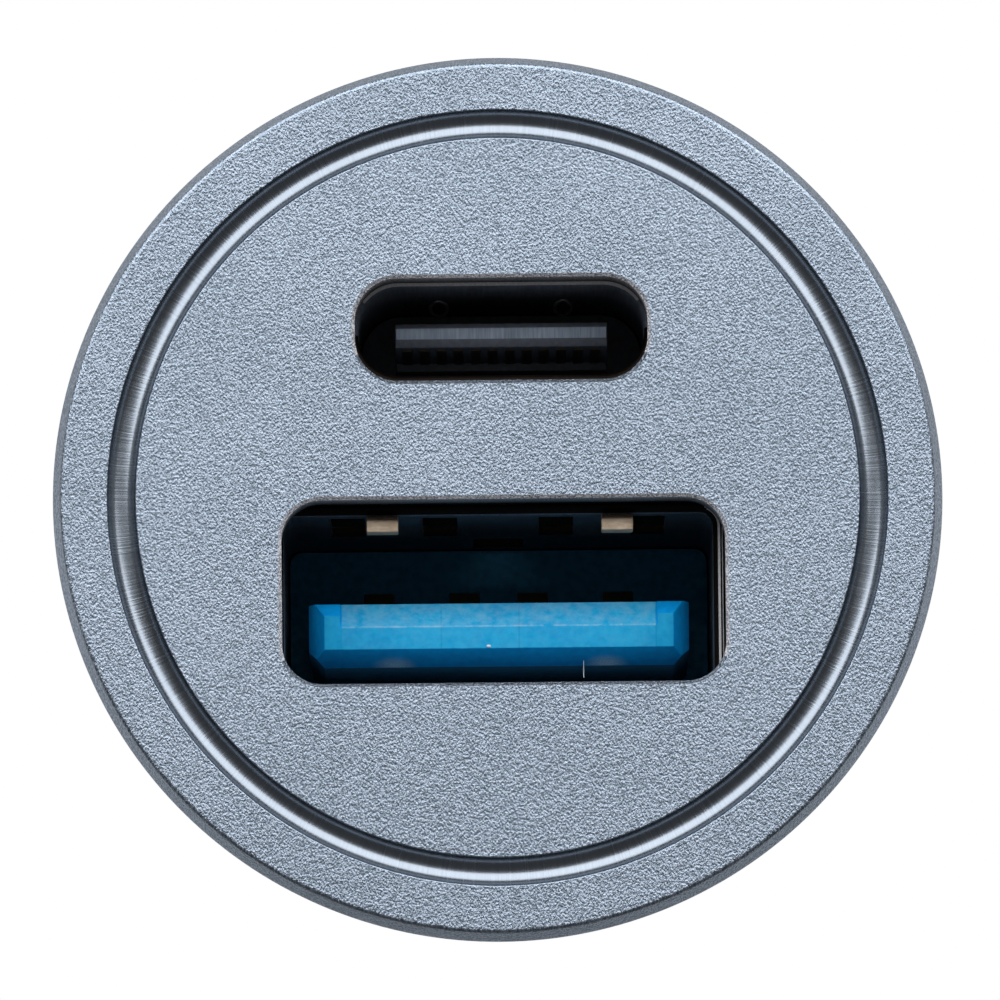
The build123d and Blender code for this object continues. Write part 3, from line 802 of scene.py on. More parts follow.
def rounded_plate(
    bm: BMesh, centre: Vector, size: tuple[float, float], corner: float, segments: int
) -> BMFace:
    """Flat plate across the plug's axis, with round corners.

    Args:
        bm: Mesh that gets the plate.
        centre: Its middle.
        size: Its width and height.
        corner: Radius of its corners.
        segments: Straight runs in each corner.

    Returns:
        The plate's face, which looks to the front.
    """
    signs = ((-1, -1), (1, -1), (1, 1), (-1, 1))
    corners = [bm.verts.new(centre + Vector((sx * size[0] / 2, 0.0, sz * size[1] / 2))) for sx, sz in signs]
    bm.faces.new(corners)
    rounded = round_off(bm, corners, corner, segments)
    return max((v.link_faces[0] for v in rounded), key=lambda f: len(f.verts))


def pull(bm: BMesh, faces: Sequence[BMFace], way: Vector) -> list[BMFace]:
    """Extrude faces along a straight way.

    Args:
        bm: Mesh of the faces.
        faces: Faces to extrude.
        way: Direction and length.

    Returns:
        The moved faces.
    """
    made = bmesh.ops.extrude_face_region(bm, geom=list(faces))["geom"]
    bmesh.ops.translate(bm, verts=[g for g in made if isinstance(g, BMVert)], vec=way)
    return [g for g in made if isinstance(g, BMFace)]


def sharp_edges(bm: BMesh) -> list[BMEdge]:
    """Edges at which two faces meet at a clear angle."""
    return [e for e in bm.edges if len(e.link_faces) == 2 and e.calc_face_angle() > SHARP_ANGLE]


def open_edges(bm: BMesh, side: int) -> list[BMEdge]:
    """Edges on one side of the plug that bound only one face."""
    return [e for e in bm.edges if e.is_boundary and e.verts[0].co.x * side > 0]


def cut_openings(bm: BMesh, start: float, end: float, half_width: float, least_x: float) -> None:
    """Cut an opening into the wall on each side of the plug.

    Args:
        bm: Mesh that is cut.
        start: Station where the openings start.
        end: Station where they end.
        half_width: Half of their height.
        least_x: Distance from the middle beyond which they lie.
    """
    cuts = [(AXIS * start, AXIS), (AXIS * end, AXIS), (UP * half_width, UP), (UP * -half_width, UP)]
    for point, normal in cuts:
        runs = [(f, [v.co.y for v in f.verts]) for f in bm.faces]
        faces = [f for f, stations in runs if min(stations) < end and max(stations) > start]
        geom = list({v for f in faces for v in f.verts} | {e for f in faces for e in f.edges}) + faces
        bmesh.ops.bisect_plane(bm, geom=geom, dist=WELD_DISTANCE, plane_co=point, plane_no=normal)
    middles = [(f, f.calc_center_median()) for f in bm.faces]
    along = [(f, middle) for f, middle in middles if start < middle.y < end]
    inside = [f for f, middle in along if abs(middle.z) < half_width and abs(middle.x) > least_x]
    bmesh.ops.delete(bm, geom=inside, context="FACES")


@dataclass
class SubAssembly:
    """A part of the plug that is built together.

    Attributes:
        nodes: The CAD nodes by name.
    """

    nodes: dict[str, Object]

    def build(self) -> list[Object]:
        """Build and dress the pieces."""
        raise NotImplementedError


@dataclass
class Port:
    """A rounded opening in the face.

    Attributes:
        width: Width of the opening.
        height: Height of the opening.
        corner: Radius of its corners.
        x: Place of its middle to the right.
        z: Height of its middle.
    """

    width: float
    height: float
    corner: float
    x: float
    z: float


@dataclass
class HeadShell(SubAssembly):
    """Head and barrel in one turned piece, with the groove, both openings and the clips' windows."""

    bevel_width: float = 0.25 * MM
    bevel_depth: float = 0.5 * MM
    crest_rounding: float = 0.06 * MM
    crest_loss: float = 0.29
    undercut_depth: float = 1.4 * MM
    rim_land: float = 1.33 * MM
    rim_rounding: float = 0.07 * MM
    groove_width: float = 0.84 * MM
    groove_depth: float = 0.3 * MM
    groove_steps: int = 12
    lip_rounding: float = 0.02 * MM
    face_wall: float = 1.2 * MM
    neck_radius: float = 11.8 * MM
    neck_rounding: float = 0.5 * MM
    shoulder_rounding: float = 0.2 * MM
    collar_radius: float = 10.4 * MM
    collar_length: float = 8.0 * MM
    collar_foot_rounding: float = 0.1 * MM
    collar_end_rounding: float = 0.08 * MM
    barrel_radius: float = 10.2 * MM
    barrel_foot_rounding: float = 0.05 * MM
    barrel_end_rounding: float = 0.15 * MM
    bore_radius: float = 9.4 * MM
    bore_end_rounding: float = 0.05 * MM
    opening_bevel: float = 0.1 * MM
    window_start: float = 10.3 * MM
    window_end: float = 20.6 * MM
    window_half_width: float = 2.4 * MM
    window_bevel: float = 0.12 * MM
    window_margin: float = 0.1 * MM
    steps: int = 256
    corner_segments: int = 12
    ports: tuple[Port, ...] = (
        Port(8.5 * MM, 3.0 * MM, 1.26 * MM, 0.15 * MM, 4.91 * MM),
        Port(12.86 * MM, 5.35 * MM, 1.16 * MM, 0.15 * MM, -2.73 * MM),
    )

    def profile(self, face_y: float, head_radius: float, end_y: float) -> list[Corner]:
        """Corners of the turned profile, from the groove's inner lip round to the bore's front end.

        Args:
            face_y: Station of the face.
            head_radius: Largest radius of the head.
            end_y: Station of the barrel's end.

        Returns:
            The corners in order.
        """
        outer_lip = Corner(head_radius - self.bevel_width - self.rim_land, face_y, self.lip_rounding)
        inner_lip = Corner(outer_lip.radius - self.groove_width, face_y, self.lip_rounding)
        rim_y = face_y + self.bevel_depth
        return [
            Corner(inner_lip.radius - 2 * self.lip_rounding, face_y),
            inner_lip,
            *arc_corners(inner_lip, outer_lip, self.groove_depth, self.groove_steps),
            outer_lip,
            Corner(head_radius - self.bevel_width, face_y, self.rim_rounding),
            Corner(head_radius + self.crest_loss * self.crest_rounding, rim_y, self.crest_rounding),
            Corner(self.neck_radius, rim_y + self.undercut_depth, self.neck_rounding),
            Corner(self.neck_radius, 0.0, self.shoulder_rounding),
            Corner(self.collar_radius, 0.0, self.collar_foot_rounding),
            Corner(self.collar_radius, self.collar_length, self.collar_end_rounding),
            Corner(self.barrel_radius, self.collar_length, self.barrel_foot_rounding),
            Corner(self.barrel_radius, end_y, self.barrel_end_rounding),
            Corner(self.bore_radius, end_y, self.bore_end_rounding),
            Corner(self.bore_radius, face_y + self.face_wall),
        ]

    def build(self) -> list[Object]:
        """Build and dress the shell.

        Returns:
            The piece that stands for the shell's node.
        """
        low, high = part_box("metal_shell")
        face_y = low.y
        bm = spin_profile(self.profile(face_y, high.x, high.y), self.steps)
        for port in self.ports:
            self.cut_port(bm, port, face_y)
        plates = [self.fill_plate(bm, station) for station in (face_y, face_y + self.face_wall)]
        self.cut_windows(bm)
        finish_shading(bm)
        for plate in plates:
            for face in plate:
                face.smooth = False
        for face in bm.faces:
            face.material_index = self.finish_number(face, face_y, high.x)
        finishes = (BLASTED_ALUMINIUM, TURNED_ALUMINIUM, MILLED_ALUMINIUM)
        return [new_piece("turned_shell", bm, finishes, Body.CHARGER, Slot.SHELL, "metal_shell")]

    def cut_port(self, bm: BMesh, port: Port, face_y: float) -> None:
        """Add the bevelled edge and the wall of an opening.

        Args:
            bm: Mesh of the shell.
            port: The opening.
            face_y: Station of the face.
        """
        size = (port.width + 2 * self.opening_bevel, port.height + 2 * self.opening_bevel)
        corner = port.corner + self.opening_bevel
        face = rounded_plate(bm, Vector((port.x, face_y, port.z)), size, corner, self.corner_segments)
        bmesh.ops.inset_region(
            bm,
            faces=[face],
            thickness=self.opening_bevel,
            depth=-self.opening_bevel,
            use_boundary=True,
            use_even_offset=True,
        )
        caps = pull(bm, [face], AXIS * (self.face_wall - self.opening_bevel))
        bmesh.ops.delete(bm, geom=caps + ([face] if face.is_valid else []), context="FACES_ONLY")

    def fill_plate(self, bm: BMesh, station: float) -> list[BMFace]:
        """Fill the flat wall round both openings at one station.

        Args:
            bm: Mesh of the shell.
            station: Front or back of the face's wall.

        Returns:
            The new flat faces.
        """
        rims = [e for e in bm.edges if len(e.link_faces) == 1]
        edges = [e for e in rims if all(abs(v.co.y - station) < WELD_DISTANCE for v in e.verts)]
        filled = bmesh.ops.triangle_fill(bm, use_beauty=True, use_dissolve=False, edges=edges, normal=-AXIS)
        return [g for g in filled["geom"] if isinstance(g, BMFace)]

    def cut_windows(self, bm: BMesh) -> None:
        """Cut a window for each clip through the barrel's wall.

        Args:
            bm: Mesh of the shell.
        """
        cut_openings(bm, self.window_start, self.window_end, self.window_half_width, self.bore_radius / 2)
        for side in SIDES:
            bmesh.ops.bridge_loops(bm, edges=open_edges(bm, side))
        bmesh.ops.recalc_face_normals(bm, faces=bm.faces[:])
        round_off(bm, [e for e in sharp_edges(bm) if self.on_window_rim(e)], self.window_bevel)

    def on_window_rim(self, edge: BMEdge) -> bool:
        """Tell whether an edge runs round a window on the barrel's outside.

        Args:
            edge: A sharp edge of the shell.

        Returns:
            True if it does.
        """
        middle = (edge.verts[0].co + edge.verts[1].co) / 2
        along = self.window_start - self.window_margin < middle.y < self.window_end + self.window_margin
        outside = math.hypot(middle.x, middle.z) > (self.barrel_radius + self.bore_radius) / 2
        return along and outside and abs(middle.z) < self.window_half_width + self.window_margin

    def finish_number(self, face: BMFace, face_y: float, head_radius: float) -> int:
        """Number of a face's finish: 1 in the groove, 2 in the openings but for their lower bevels, else 0.

        Args:
            face: A face of the shell.
            face_y: Station of the face with the ports.
            head_radius: Largest radius of the head.

        Returns:
            The number.
        """
        middle = face.calc_center_median()
        radius = math.hypot(middle.x, middle.z)
        in_wall = face_y + WELD_DISTANCE < middle.y < face_y + self.face_wall - WELD_DISTANCE
        inward = abs(face.normal.y) < BEVELLED and radius < self.bore_radius
        lower_bevel = abs(face.normal.y) > TURNED and face.normal.z > SLOPING
        if in_wall and inward and not lower_bevel:
            return 2
        outer = head_radius - self.bevel_width - self.rim_land - self.lip_rounding / 2
        inner = outer - self.groove_width + self.lip_rounding
        in_groove = inner < radius < outer and middle.y < face_y + self.groove_depth
        return int(in_groove and face.smooth)


@dataclass
class Sockets(SubAssembly):
    """Both sockets behind the face: shells, insulators and contacts."""

    rounding: float = 0.04 * MM
    lead_in: float = 0.2 * MM
    sheet: float = 0.3 * MM
    inner_share: float = 0.9
    drawn_corner: float = 1.5 * MM
    corner_segments: int = 12
    tongue_end: float = 0.35 * MM
    tongue_lower_bevel: float = 0.1 * MM
    tongue_side_gain: float = 0.12 * MM
    ramp_half_width: float = 4.6 * MM
    block_setback: float = 2.0 * MM
    tab_places: tuple[float, ...] = (-3.36 * MM, 3.47 * MM)
    tab_width: float = 0.92 * MM
    tab_drop: float = 0.51 * MM
    tab_cut: float = 0.34 * MM
    tab_lean: float = 0.03 * MM
    tab_slope: float = 0.5 * MM
    tab_length: float = 0.9 * MM
    tab_setback: float = -0.3 * MM
    oval_x: float = 1.83 * MM
    oval_half_width: float = 0.3 * MM
    oval_half_length: float = 1.8 * MM
    oval_line: float = 0.1 * MM
    oval_height: float = 0.03 * MM
    oval_setback: float = 4.7 * MM
    oval_segments: int = 40
    lip_reach: float = 0.5 * MM
    right_lip_slope: tuple[float, float] = (-0.99, -0.75)
    upper_lip_slope: tuple[float, float] = (-0.65, -0.1)
    speck_radius: float = 0.055 * MM
    speck_place: tuple[float, float] = (-0.304 * MM, -4.045 * MM)
    speck_stretch: tuple[float, float, float] = (1.3, 0.6, 0.8)
    speck_rounds: int = 2
    fibre_radius: float = 0.011 * MM
    fibre_length: float = 0.5 * MM
    fibre_place: tuple[float, float] = (2.46 * MM, -4.7 * MM)
    fibre_setback: float = 0.42 * MM
    fibre_segments: int = 8

    def build(self) -> list[Object]:
        """Build and dress the sockets' pieces.

        Returns:
            The new pieces.
        """
        WARDROBE.dress(self.nodes["usb_c_contacts"].data, (GOLD_FLASH,))
        steels = (NICKEL_SHEET, SHEARED_STEEL_SHADE, SATIN_NICKEL_HIGHLIGHT, DULL_NICKEL)
        blues = (BLUE_POLYESTER, SHADED_RUBBED_BEVEL_POLYESTER, SHADED_BACK_POLYESTER)
        nylons = (DARK_NYLON, RUBBED_TONGUE)
        rows = (
            ("usb_a_shell", steels, Slot.CONNECTOR, self.open_mouth, self.steel_number),
            ("usb_a_tongue", blues, Slot.BLUE, None, self.blue_number),
            ("usb_a_contacts", (GOLD_FLASH,), Slot.GOLD, None, None),
            ("usb_c_tongue", nylons, Slot.DARK, self.slope_tongue, self.nylon_number),
        )
        pieces = []
        for node, finishes, slot, shape, number in rows:
            bm = softened_copy(self.nodes[node], self.rounding, shape)
            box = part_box(node)
            for face in bm.faces:
                face.material_index = number(face, box) if number else 0
            pieces.append(new_piece(f"{node}_formed", bm, finishes, Body.CHARGER, slot, node))
        return [*pieces, self.drawn_shell(), self.contact_tabs(), self.ceiling_ovals(), self.dust()]

    def steel_number(self, face: BMFace, box: tuple[Vector, Vector]) -> int:
        """Number of the USB-A shell's finish: 1 on cut edges in painted shade, 2 on the right lip's line as a
        painted highlight, 3 on the upper lip's line.

        Args:
            face: A face of the shell.
            box: Lowest and highest corner of the shell.

        Returns:
            The number.
        """
        low, high = box
        middle = face.calc_center_median()
        slope = face.normal.y
        if middle.y < low.y + self.lip_reach:
            least, most = self.right_lip_slope
            # The right lip's line takes the paler satin nickel of a painted highlight
            if middle.x > high.x - self.lip_reach and least < slope < most:
                return 2
            least, most = self.upper_lip_slope
            if middle.z > high.z - self.lip_reach and least < slope < most and face.normal.z < -STEEP:
                return 3
        # Front and back ends take the near-black steel of painted shade
        return int(abs(slope) > TURNED)

    def blue_number(self, face: BMFace, box: tuple[Vector, Vector]) -> int:
        """Number of the blue insulator's finish: 0 in front, 1 on bevels in the deeper blue of painted shade,
        2 below and on the back block in painted shade.

        Args:
            face: A face of the insulator.
            box: Lowest and highest corner of the insulator.

        Returns:
            The number.
        """
        middle = face.calc_center_median()
        on_ramp = face.normal.z > SLOPING and abs(middle.x) < self.ramp_half_width
        sloped = abs(face.normal.x) > SLOPING or abs(face.normal.z) > SLOPING
        # The back block and downward faces take the darker blue of painted shade; the other slopes, but the
        # ramp, the deeper blue of painted shade
        if middle.y > box[0].y + self.block_setback or face.normal.z < -FACING:
            return 2
        return int(sloped and not on_ramp)

    def nylon_number(self, face: BMFace, box: tuple[Vector, Vector]) -> int:
        """Number of the USB-C tongue's finish: 1 on its rubbed front end, else 0."""
        upright = face.normal.y < -TURNED and abs(face.normal.z) < SLOPING
        return int(upright and face.calc_center_median().y < box[0].y + self.tongue_end)

    def slope_tongue(self, bm: BMesh) -> None:
        """Widen the USB-C tongue's front, and the bevel under its edge.

        Args:
            bm: Mesh of the tongue.
        """
        front = min(v.co.y for v in bm.verts)
        edge = [v for v in bm.verts if v.co.y - front < WELD_DISTANCE]
        middle = sum(v.co.z for v in edge) / len(edge)
        lower = [v for v in edge if v.co.z < middle]
        bmesh.ops.translate(bm, verts=lower, vec=UP * self.tongue_lower_bevel)
        for side in SIDES:
            outer = [v for v in edge if v.co.x * side > 0]
            bmesh.ops.translate(bm, verts=outer, vec=(side * self.tongue_side_gain, 0.0, 0.0))

    def open_mouth(self, bm: BMesh) -> None:
        """Bevel the inner edges of a shell's front end, as a lead-in.

        Args:
            bm: Mesh of the shell.
        """
        front = min(v.co.y for v in bm.verts)
        rim = [v for v in bm.verts if v.co.y - front < WELD_DISTANCE]
        low = Vector([min(v.co[i] for v in rim) for i in range(3)])
        high = Vector([max(v.co[i] for v in rim) for i in range(3)])
        inset = self.sheet * self.inner_share

        def inner(vert: BMVert) -> bool:
            """True for a vertex of the mouth's inner outline."""
            gaps = (vert.co.x - low.x, high.x - vert.co.x, vert.co.z - low.z, high.z - vert.co.z)
            return vert.co.y - front < WELD_DISTANCE and min(gaps) > inset

        round_off(bm, [e for e in bm.edges if all(inner(v) for v in e.verts)], self.lead_in, 1)

    def drawn_shell(self) -> Object:
        """Open tube of the USB-C shell, with a lead-in round its mouth, a worn upper lip made paler as a
        painted highlight and a lower front in painted shade.

        Returns:
            The shell piece.
        """
        low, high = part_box("usb_c_shell")
        centre = Vector(((low.x + high.x) / 2, low.y, (low.z + high.z) / 2))
        size = (high.x - low.x, high.z - low.z)
        bm = bmesh.new()
        plate = rounded_plate(bm, centre, size, self.drawn_corner, self.corner_segments)
        ring = bmesh.ops.inset_region(
            bm, faces=[plate], thickness=self.sheet, use_boundary=True, use_even_offset=True
        )["faces"]
        mouth = plate.edges[:]
        bmesh.ops.delete(bm, geom=[plate], context="FACES_ONLY")
        pull(bm, ring, AXIS * (high.y - low.y))
        bmesh.ops.recalc_face_normals(bm, faces=bm.faces[:])
        round_off(bm, mouth, self.lead_in)
        round_off(bm, sharp_edges(bm), self.rounding)
        finish_shading(bm)
        # Front-facing faces of the upper lip take the paler nickel of a painted highlight; front-facing faces
        # of the lower half, the near-black steel of painted shade
        for face in bm.faces:
            height = face.calc_center_median().z
            if height > high.z - self.drawn_corner / 2:
                face.material_index = 2 * (face.normal.y < -STEEP)
            else:
                face.material_index = int(height < centre.z and face.normal.y < -SLIGHT)
        finishes = (DULL_NICKEL, SHEARED_STEEL_SHADE, SATIN_NICKEL_HIGHLIGHT)
        return new_piece("usb_c_shell_drawn", bm, finishes, Body.CHARGER, Slot.CONNECTOR, "usb_c_shell")

    def contact_tabs(self) -> Object:
        """Bare cut end of each sprung finger, bent down from the USB-A shell's top wall.

        Returns:
            The tabs, as one piece.
        """
        low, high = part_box("usb_a_shell")
        outline = (
            (0.0, -self.tab_drop),
            (self.tab_lean, self.tab_cut - self.tab_drop),
            (self.tab_slope, 0.0),
            (self.tab_length, 0.0),
            (self.tab_length, -self.tab_drop),
        )
        bm = bmesh.new()
        for x in self.tab_places:
            start = Vector((x - self.tab_width / 2, low.y + self.tab_setback, high.z - self.sheet))
            side = bm.faces.new([bm.verts.new(start + Vector((0.0, y, z))) for y, z in outline])
            pull(bm, [side], Vector((self.tab_width, 0.0, 0.0)))
        bmesh.ops.recalc_face_normals(bm, faces=bm.faces[:])
        round_off(bm, sharp_edges(bm), self.rounding)
        finish_shading(bm)
        # The tabs' worn brass is painted near white, a painted glint
        return new_piece("finger_contact_tabs", bm, (WORN_BRASS_GLINT,), Body.CHARGER, Slot.CONNECTOR)

    def ceiling_ovals(self) -> Object:
        """Two embossed ovals in the top wall of the USB-C shell.

        Returns:
            The ovals, as one piece.
        """
        low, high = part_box("usb_c_shell")
        centre = Vector(((low.x + high.x) / 2, low.y + self.oval_setback, high.z - self.sheet))
        size = (self.oval_half_width, self.oval_half_length, 1.0)
        bm = bmesh.new()
        for side in SIDES:
            disc = bmesh.ops.create_circle(bm, cap_ends=True, radius=1.0, segments=self.oval_segments)
            verts = disc["verts"]
            bmesh.ops.scale(bm, vec=size, verts=verts)
            bmesh.ops.translate(bm, verts=verts, vec=centre + Vector((side * self.oval_x, 0.0, 0.0)))
        discs = bm.faces[:]
        for disc in discs:
            bmesh.ops.inset_region(bm, faces=[disc], thickness=self.oval_line, use_boundary=True)
        bmesh.ops.delete(bm, geom=discs, context="FACES_ONLY")
        bmesh.ops.recalc_face_normals(bm, faces=bm.faces[:])
        bmesh.ops.solidify(bm, geom=bm.faces[:], thickness=self.oval_height)
        finish_shading(bm)
        # The ovals are painted far paler than the shell, a painted sheen
        return new_piece("ceiling_ovals", bm, (RUBBED_NICKEL_SHEEN,), Body.CHARGER, Slot.CONNECTOR)

    def dust(self) -> Object:
        """White speck on the blue tongue's front and a short fibre that hangs at its lower edge.

        Returns:
            Both, as one piece.
        """
        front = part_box("usb_a_tongue")[0].y
        speck = Matrix.Translation((self.speck_place[0], front, self.speck_place[1]))
        flattened = Matrix.Diagonal((*self.speck_stretch, 1.0))
        fibre = (self.fibre_place[0], front + self.fibre_setback, self.fibre_place[1])
        bm = bmesh.new()
        bmesh.ops.create_icosphere(
            bm, subdivisions=self.speck_rounds, radius=self.speck_radius, matrix=speck @ flattened
        )
        bmesh.ops.create_cone(
            bm,
            cap_ends=True,
            segments=self.fibre_segments,
            radius1=self.fibre_radius,
            radius2=self.fibre_radius / 2,
            depth=self.fibre_length,
            matrix=Matrix.Translation(fibre),
        )
        finish_shading(bm)
        return new_piece("dust_and_lint", bm, (COTTON_LINT,), Body.CHARGER, Slot.BLUE)


@dataclass
class GroundClips(SubAssembly):
    """The two leaf springs on the barrel's sides."""

    rounding: float = 0.06 * MM

    def build(self) -> list[Object]:
        """Build and dress both clips.

        Returns:
            The new pieces.
        """
        pieces = []
        for node, body in (("ground_clip_right", Body.RIGHT_CLIP), ("ground_clip_left", Body.LEFT_CLIP)):
            leaf = softened_copy(self.nodes[node], self.rounding)
            pieces.append(new_piece(f"{node}_leaf", leaf, (SPRING_STEEL,), body, Slot.SPRING, node))
        return pieces


@dataclass
class NoseAndTip(SubAssembly):
    """Moulded nose with the sprung tip in it."""

    spigot_start: float = 19.0 * MM
    barrel_end: float = 24.0 * MM
    nose_end: float = 34.0 * MM
    web: float = 25.8 * MM
    land_end: float = 25.8 * MM
    tip_seat: float = 33.0 * MM
    spigot_radius: float = 9.35 * MM
    nose_radius: float = 10.2 * MM
    end_radius: float = 6.2 * MM
    mouth_radius: float = 3.35 * MM
    guide_radius: float = 4.1 * MM
    inner_radius: float = 7.4 * MM
    foot_rounding: float = 0.12 * MM
    land_rounding: float = 0.8 * MM
    end_rounding: float = 0.6 * MM
    mouth_rounding: float = 0.15 * MM
    slot_end: float = 22.95 * MM
    slot_half_width: float = 2.4 * MM
    tip_radius: float = 3.2 * MM
    flange_radius: float = 3.95 * MM
    flange_length: float = 2.0 * MM
    flange_rounding: float = 0.15 * MM
    dome_height: float = 2.2 * MM
    dome_flat_radius: float = 1.2 * MM
    dome_steps: int = 14
    wire_radius: float = 0.25 * MM
    wire_segments: int = 12
    spring_radius: float = 3.45 * MM
    spring_turns: float = 3.0
    spring_turn_steps: int = 40
    spring_travel: float = 3.0 * MM
    steps: int = 160

    def build(self) -> list[Object]:
        """Build and dress the nose, the tip and its spring."""
        return [self.nose(), self.tip(), self.spring()]

    def nose(self) -> Object:
        """Turned form of the nose, with the clips' slots in its spigot.

        Returns:
            The nose piece.
        """
        corners = [
            Corner(self.spigot_radius, self.spigot_start),
            Corner(self.spigot_radius, self.barrel_end),
            Corner(self.nose_radius, self.barrel_end, self.foot_rounding),
            Corner(self.nose_radius, self.land_end, self.land_rounding),
            Corner(self.end_radius, self.nose_end, self.end_rounding),
            Corner(self.mouth_radius, self.nose_end, self.mouth_rounding),
            Corner(self.mouth_radius, self.tip_seat),
            Corner(self.guide_radius, self.tip_seat),
            Corner(self.guide_radius, self.web),
            Corner(self.inner_radius, self.web),
            Corner(self.inner_radius, self.spigot_start),
        ]
        bm = spin_profile(corners, self.steps)
        bmesh.ops.bridge_loops(bm, edges=[e for e in bm.edges if e.is_boundary])
        self.cut_slots(bm)
        finish_shading(bm)
        return new_piece("moulded_nose", bm, (BLACK_ABS,), Body.CHARGER, Slot.NOSE, "nose_cap")

    def cut_slots(self, bm: BMesh) -> None:
        """Cut the clips' slots into the spigot's end and close their walls.

        Args:
            bm: Closed mesh of the nose.
        """
        end, half = self.slot_end, self.slot_half_width
        cut_openings(bm, 0.0, end, half, self.inner_radius / 2)
        for side in SIDES:
            rims = open_edges(bm, side)
            verts = {v for e in rims for v in e.verts}
            for across in (-half, half):
                ends = [v for v in verts if abs(v.co.y - end) + abs(v.co.z - across) < SLOT_TOLERANCE]
                rims.append(bm.edges.new(ends))
            for axis, level in ((1, end), (2, half), (2, -half)):
                wall = [e for e in rims if all(abs(v.co[axis] - level) < SLOT_TOLERANCE for v in e.verts)]
                bmesh.ops.edgeloop_fill(bm, edges=wall)

    def tip(self) -> Object:
        """Turned tip: flange, pin and a round dome with a small flat.

        Returns:
            The tip piece.
        """
        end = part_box("tip_contact")[1].y
        flange = self.tip_seat - self.flange_length
        corners = [
            Corner(0.0, flange),
            Corner(self.flange_radius, flange, self.flange_rounding),
            Corner(self.flange_radius, self.tip_seat, self.flange_rounding),
            Corner(self.tip_radius, self.tip_seat),
            *self.dome(end - self.dome_height),
            Corner(0.0, end),
        ]
        bm = spin_profile(corners, self.steps)
        finish_shading(bm)
        return new_piece("turned_tip", bm, (TIP_NICKEL,), Body.TIP, Slot.TIP, "tip_contact")

    def dome(self, start: float) -> list[Corner]:
        """Corners of the dome, a quarter of an oval from the pin's side to the flat.

        Args:
            start: Station where the dome starts.

        Returns:
            The corners in order.
        """
        flat, height = self.dome_flat_radius, self.dome_height
        drop = self.tip_radius - flat
        angles = [math.pi / 2 * i / self.dome_steps for i in range(self.dome_steps + 1)]
        return [Corner(flat + drop * math.cos(a), start + height * math.sin(a)) for a in angles]

    def spring(self) -> Object:
        """Coil of round wire, spun as a screw.

        Returns:
            The spring piece.
        """
        low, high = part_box("tip_spring")
        rise = high.y - low.y - 2 * self.wire_radius
        steps = round(self.spring_turn_steps * self.spring_turns)
        bm = bmesh.new()
        bmesh.ops.create_circle(
            bm,
            cap_ends=True,
            radius=self.wire_radius,
            segments=self.wire_segments,
            matrix=Matrix.Translation((self.spring_radius, low.y + self.wire_radius, 0.0)),
        )
        bmesh.ops.spin(
            bm,
            geom=bm.verts[:] + bm.edges[:] + bm.faces[:],
            cent=ORIGIN,
            axis=AXIS,
            dvec=AXIS * (rise / steps),
            angle=math.tau * self.spring_turns,
            steps=steps,
            use_merge=False,
            use_duplicate=False,
        )
        finish_shading(bm)
        piece = new_piece("tip_coil", bm, (SPRING_STEEL,), Body.CHARGER, Slot.SPRING, "tip_spring")
        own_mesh(piece)
        return piece


@dataclass
class Electronics(SubAssembly):
    """Boards and their parts, closed inside the barrel."""

    def build(self) -> list[Object]:
        """Dress the inner CAD nodes.

        Returns:
            Those nodes.
        """
        rows = (
            (SOLDER_MASK, ("port_board", "power_board")),
            (CHIP_EPOXY, ("port_chip", "converter_chip", "power_transistors")),
            (IRON_POWDER, ("power_choke",)),
            (TINNED_COPPER, ("choke_terminals", "converter_leads")),
            (DRAWN_ALUMINIUM, ("input_capacitor", "output_capacitor")),
            (FIRED_CERAMIC, ("chip_capacitors", "chip_resistors", "input_fuse")),
            (TIP_NICKEL, ("tip_terminal",)),
        )
        for finish, names in rows:
            for name in names:
                WARDROBE.dress(self.nodes[name].data, (finish,))
        return [self.nodes[name] for _, names in rows for name in names]


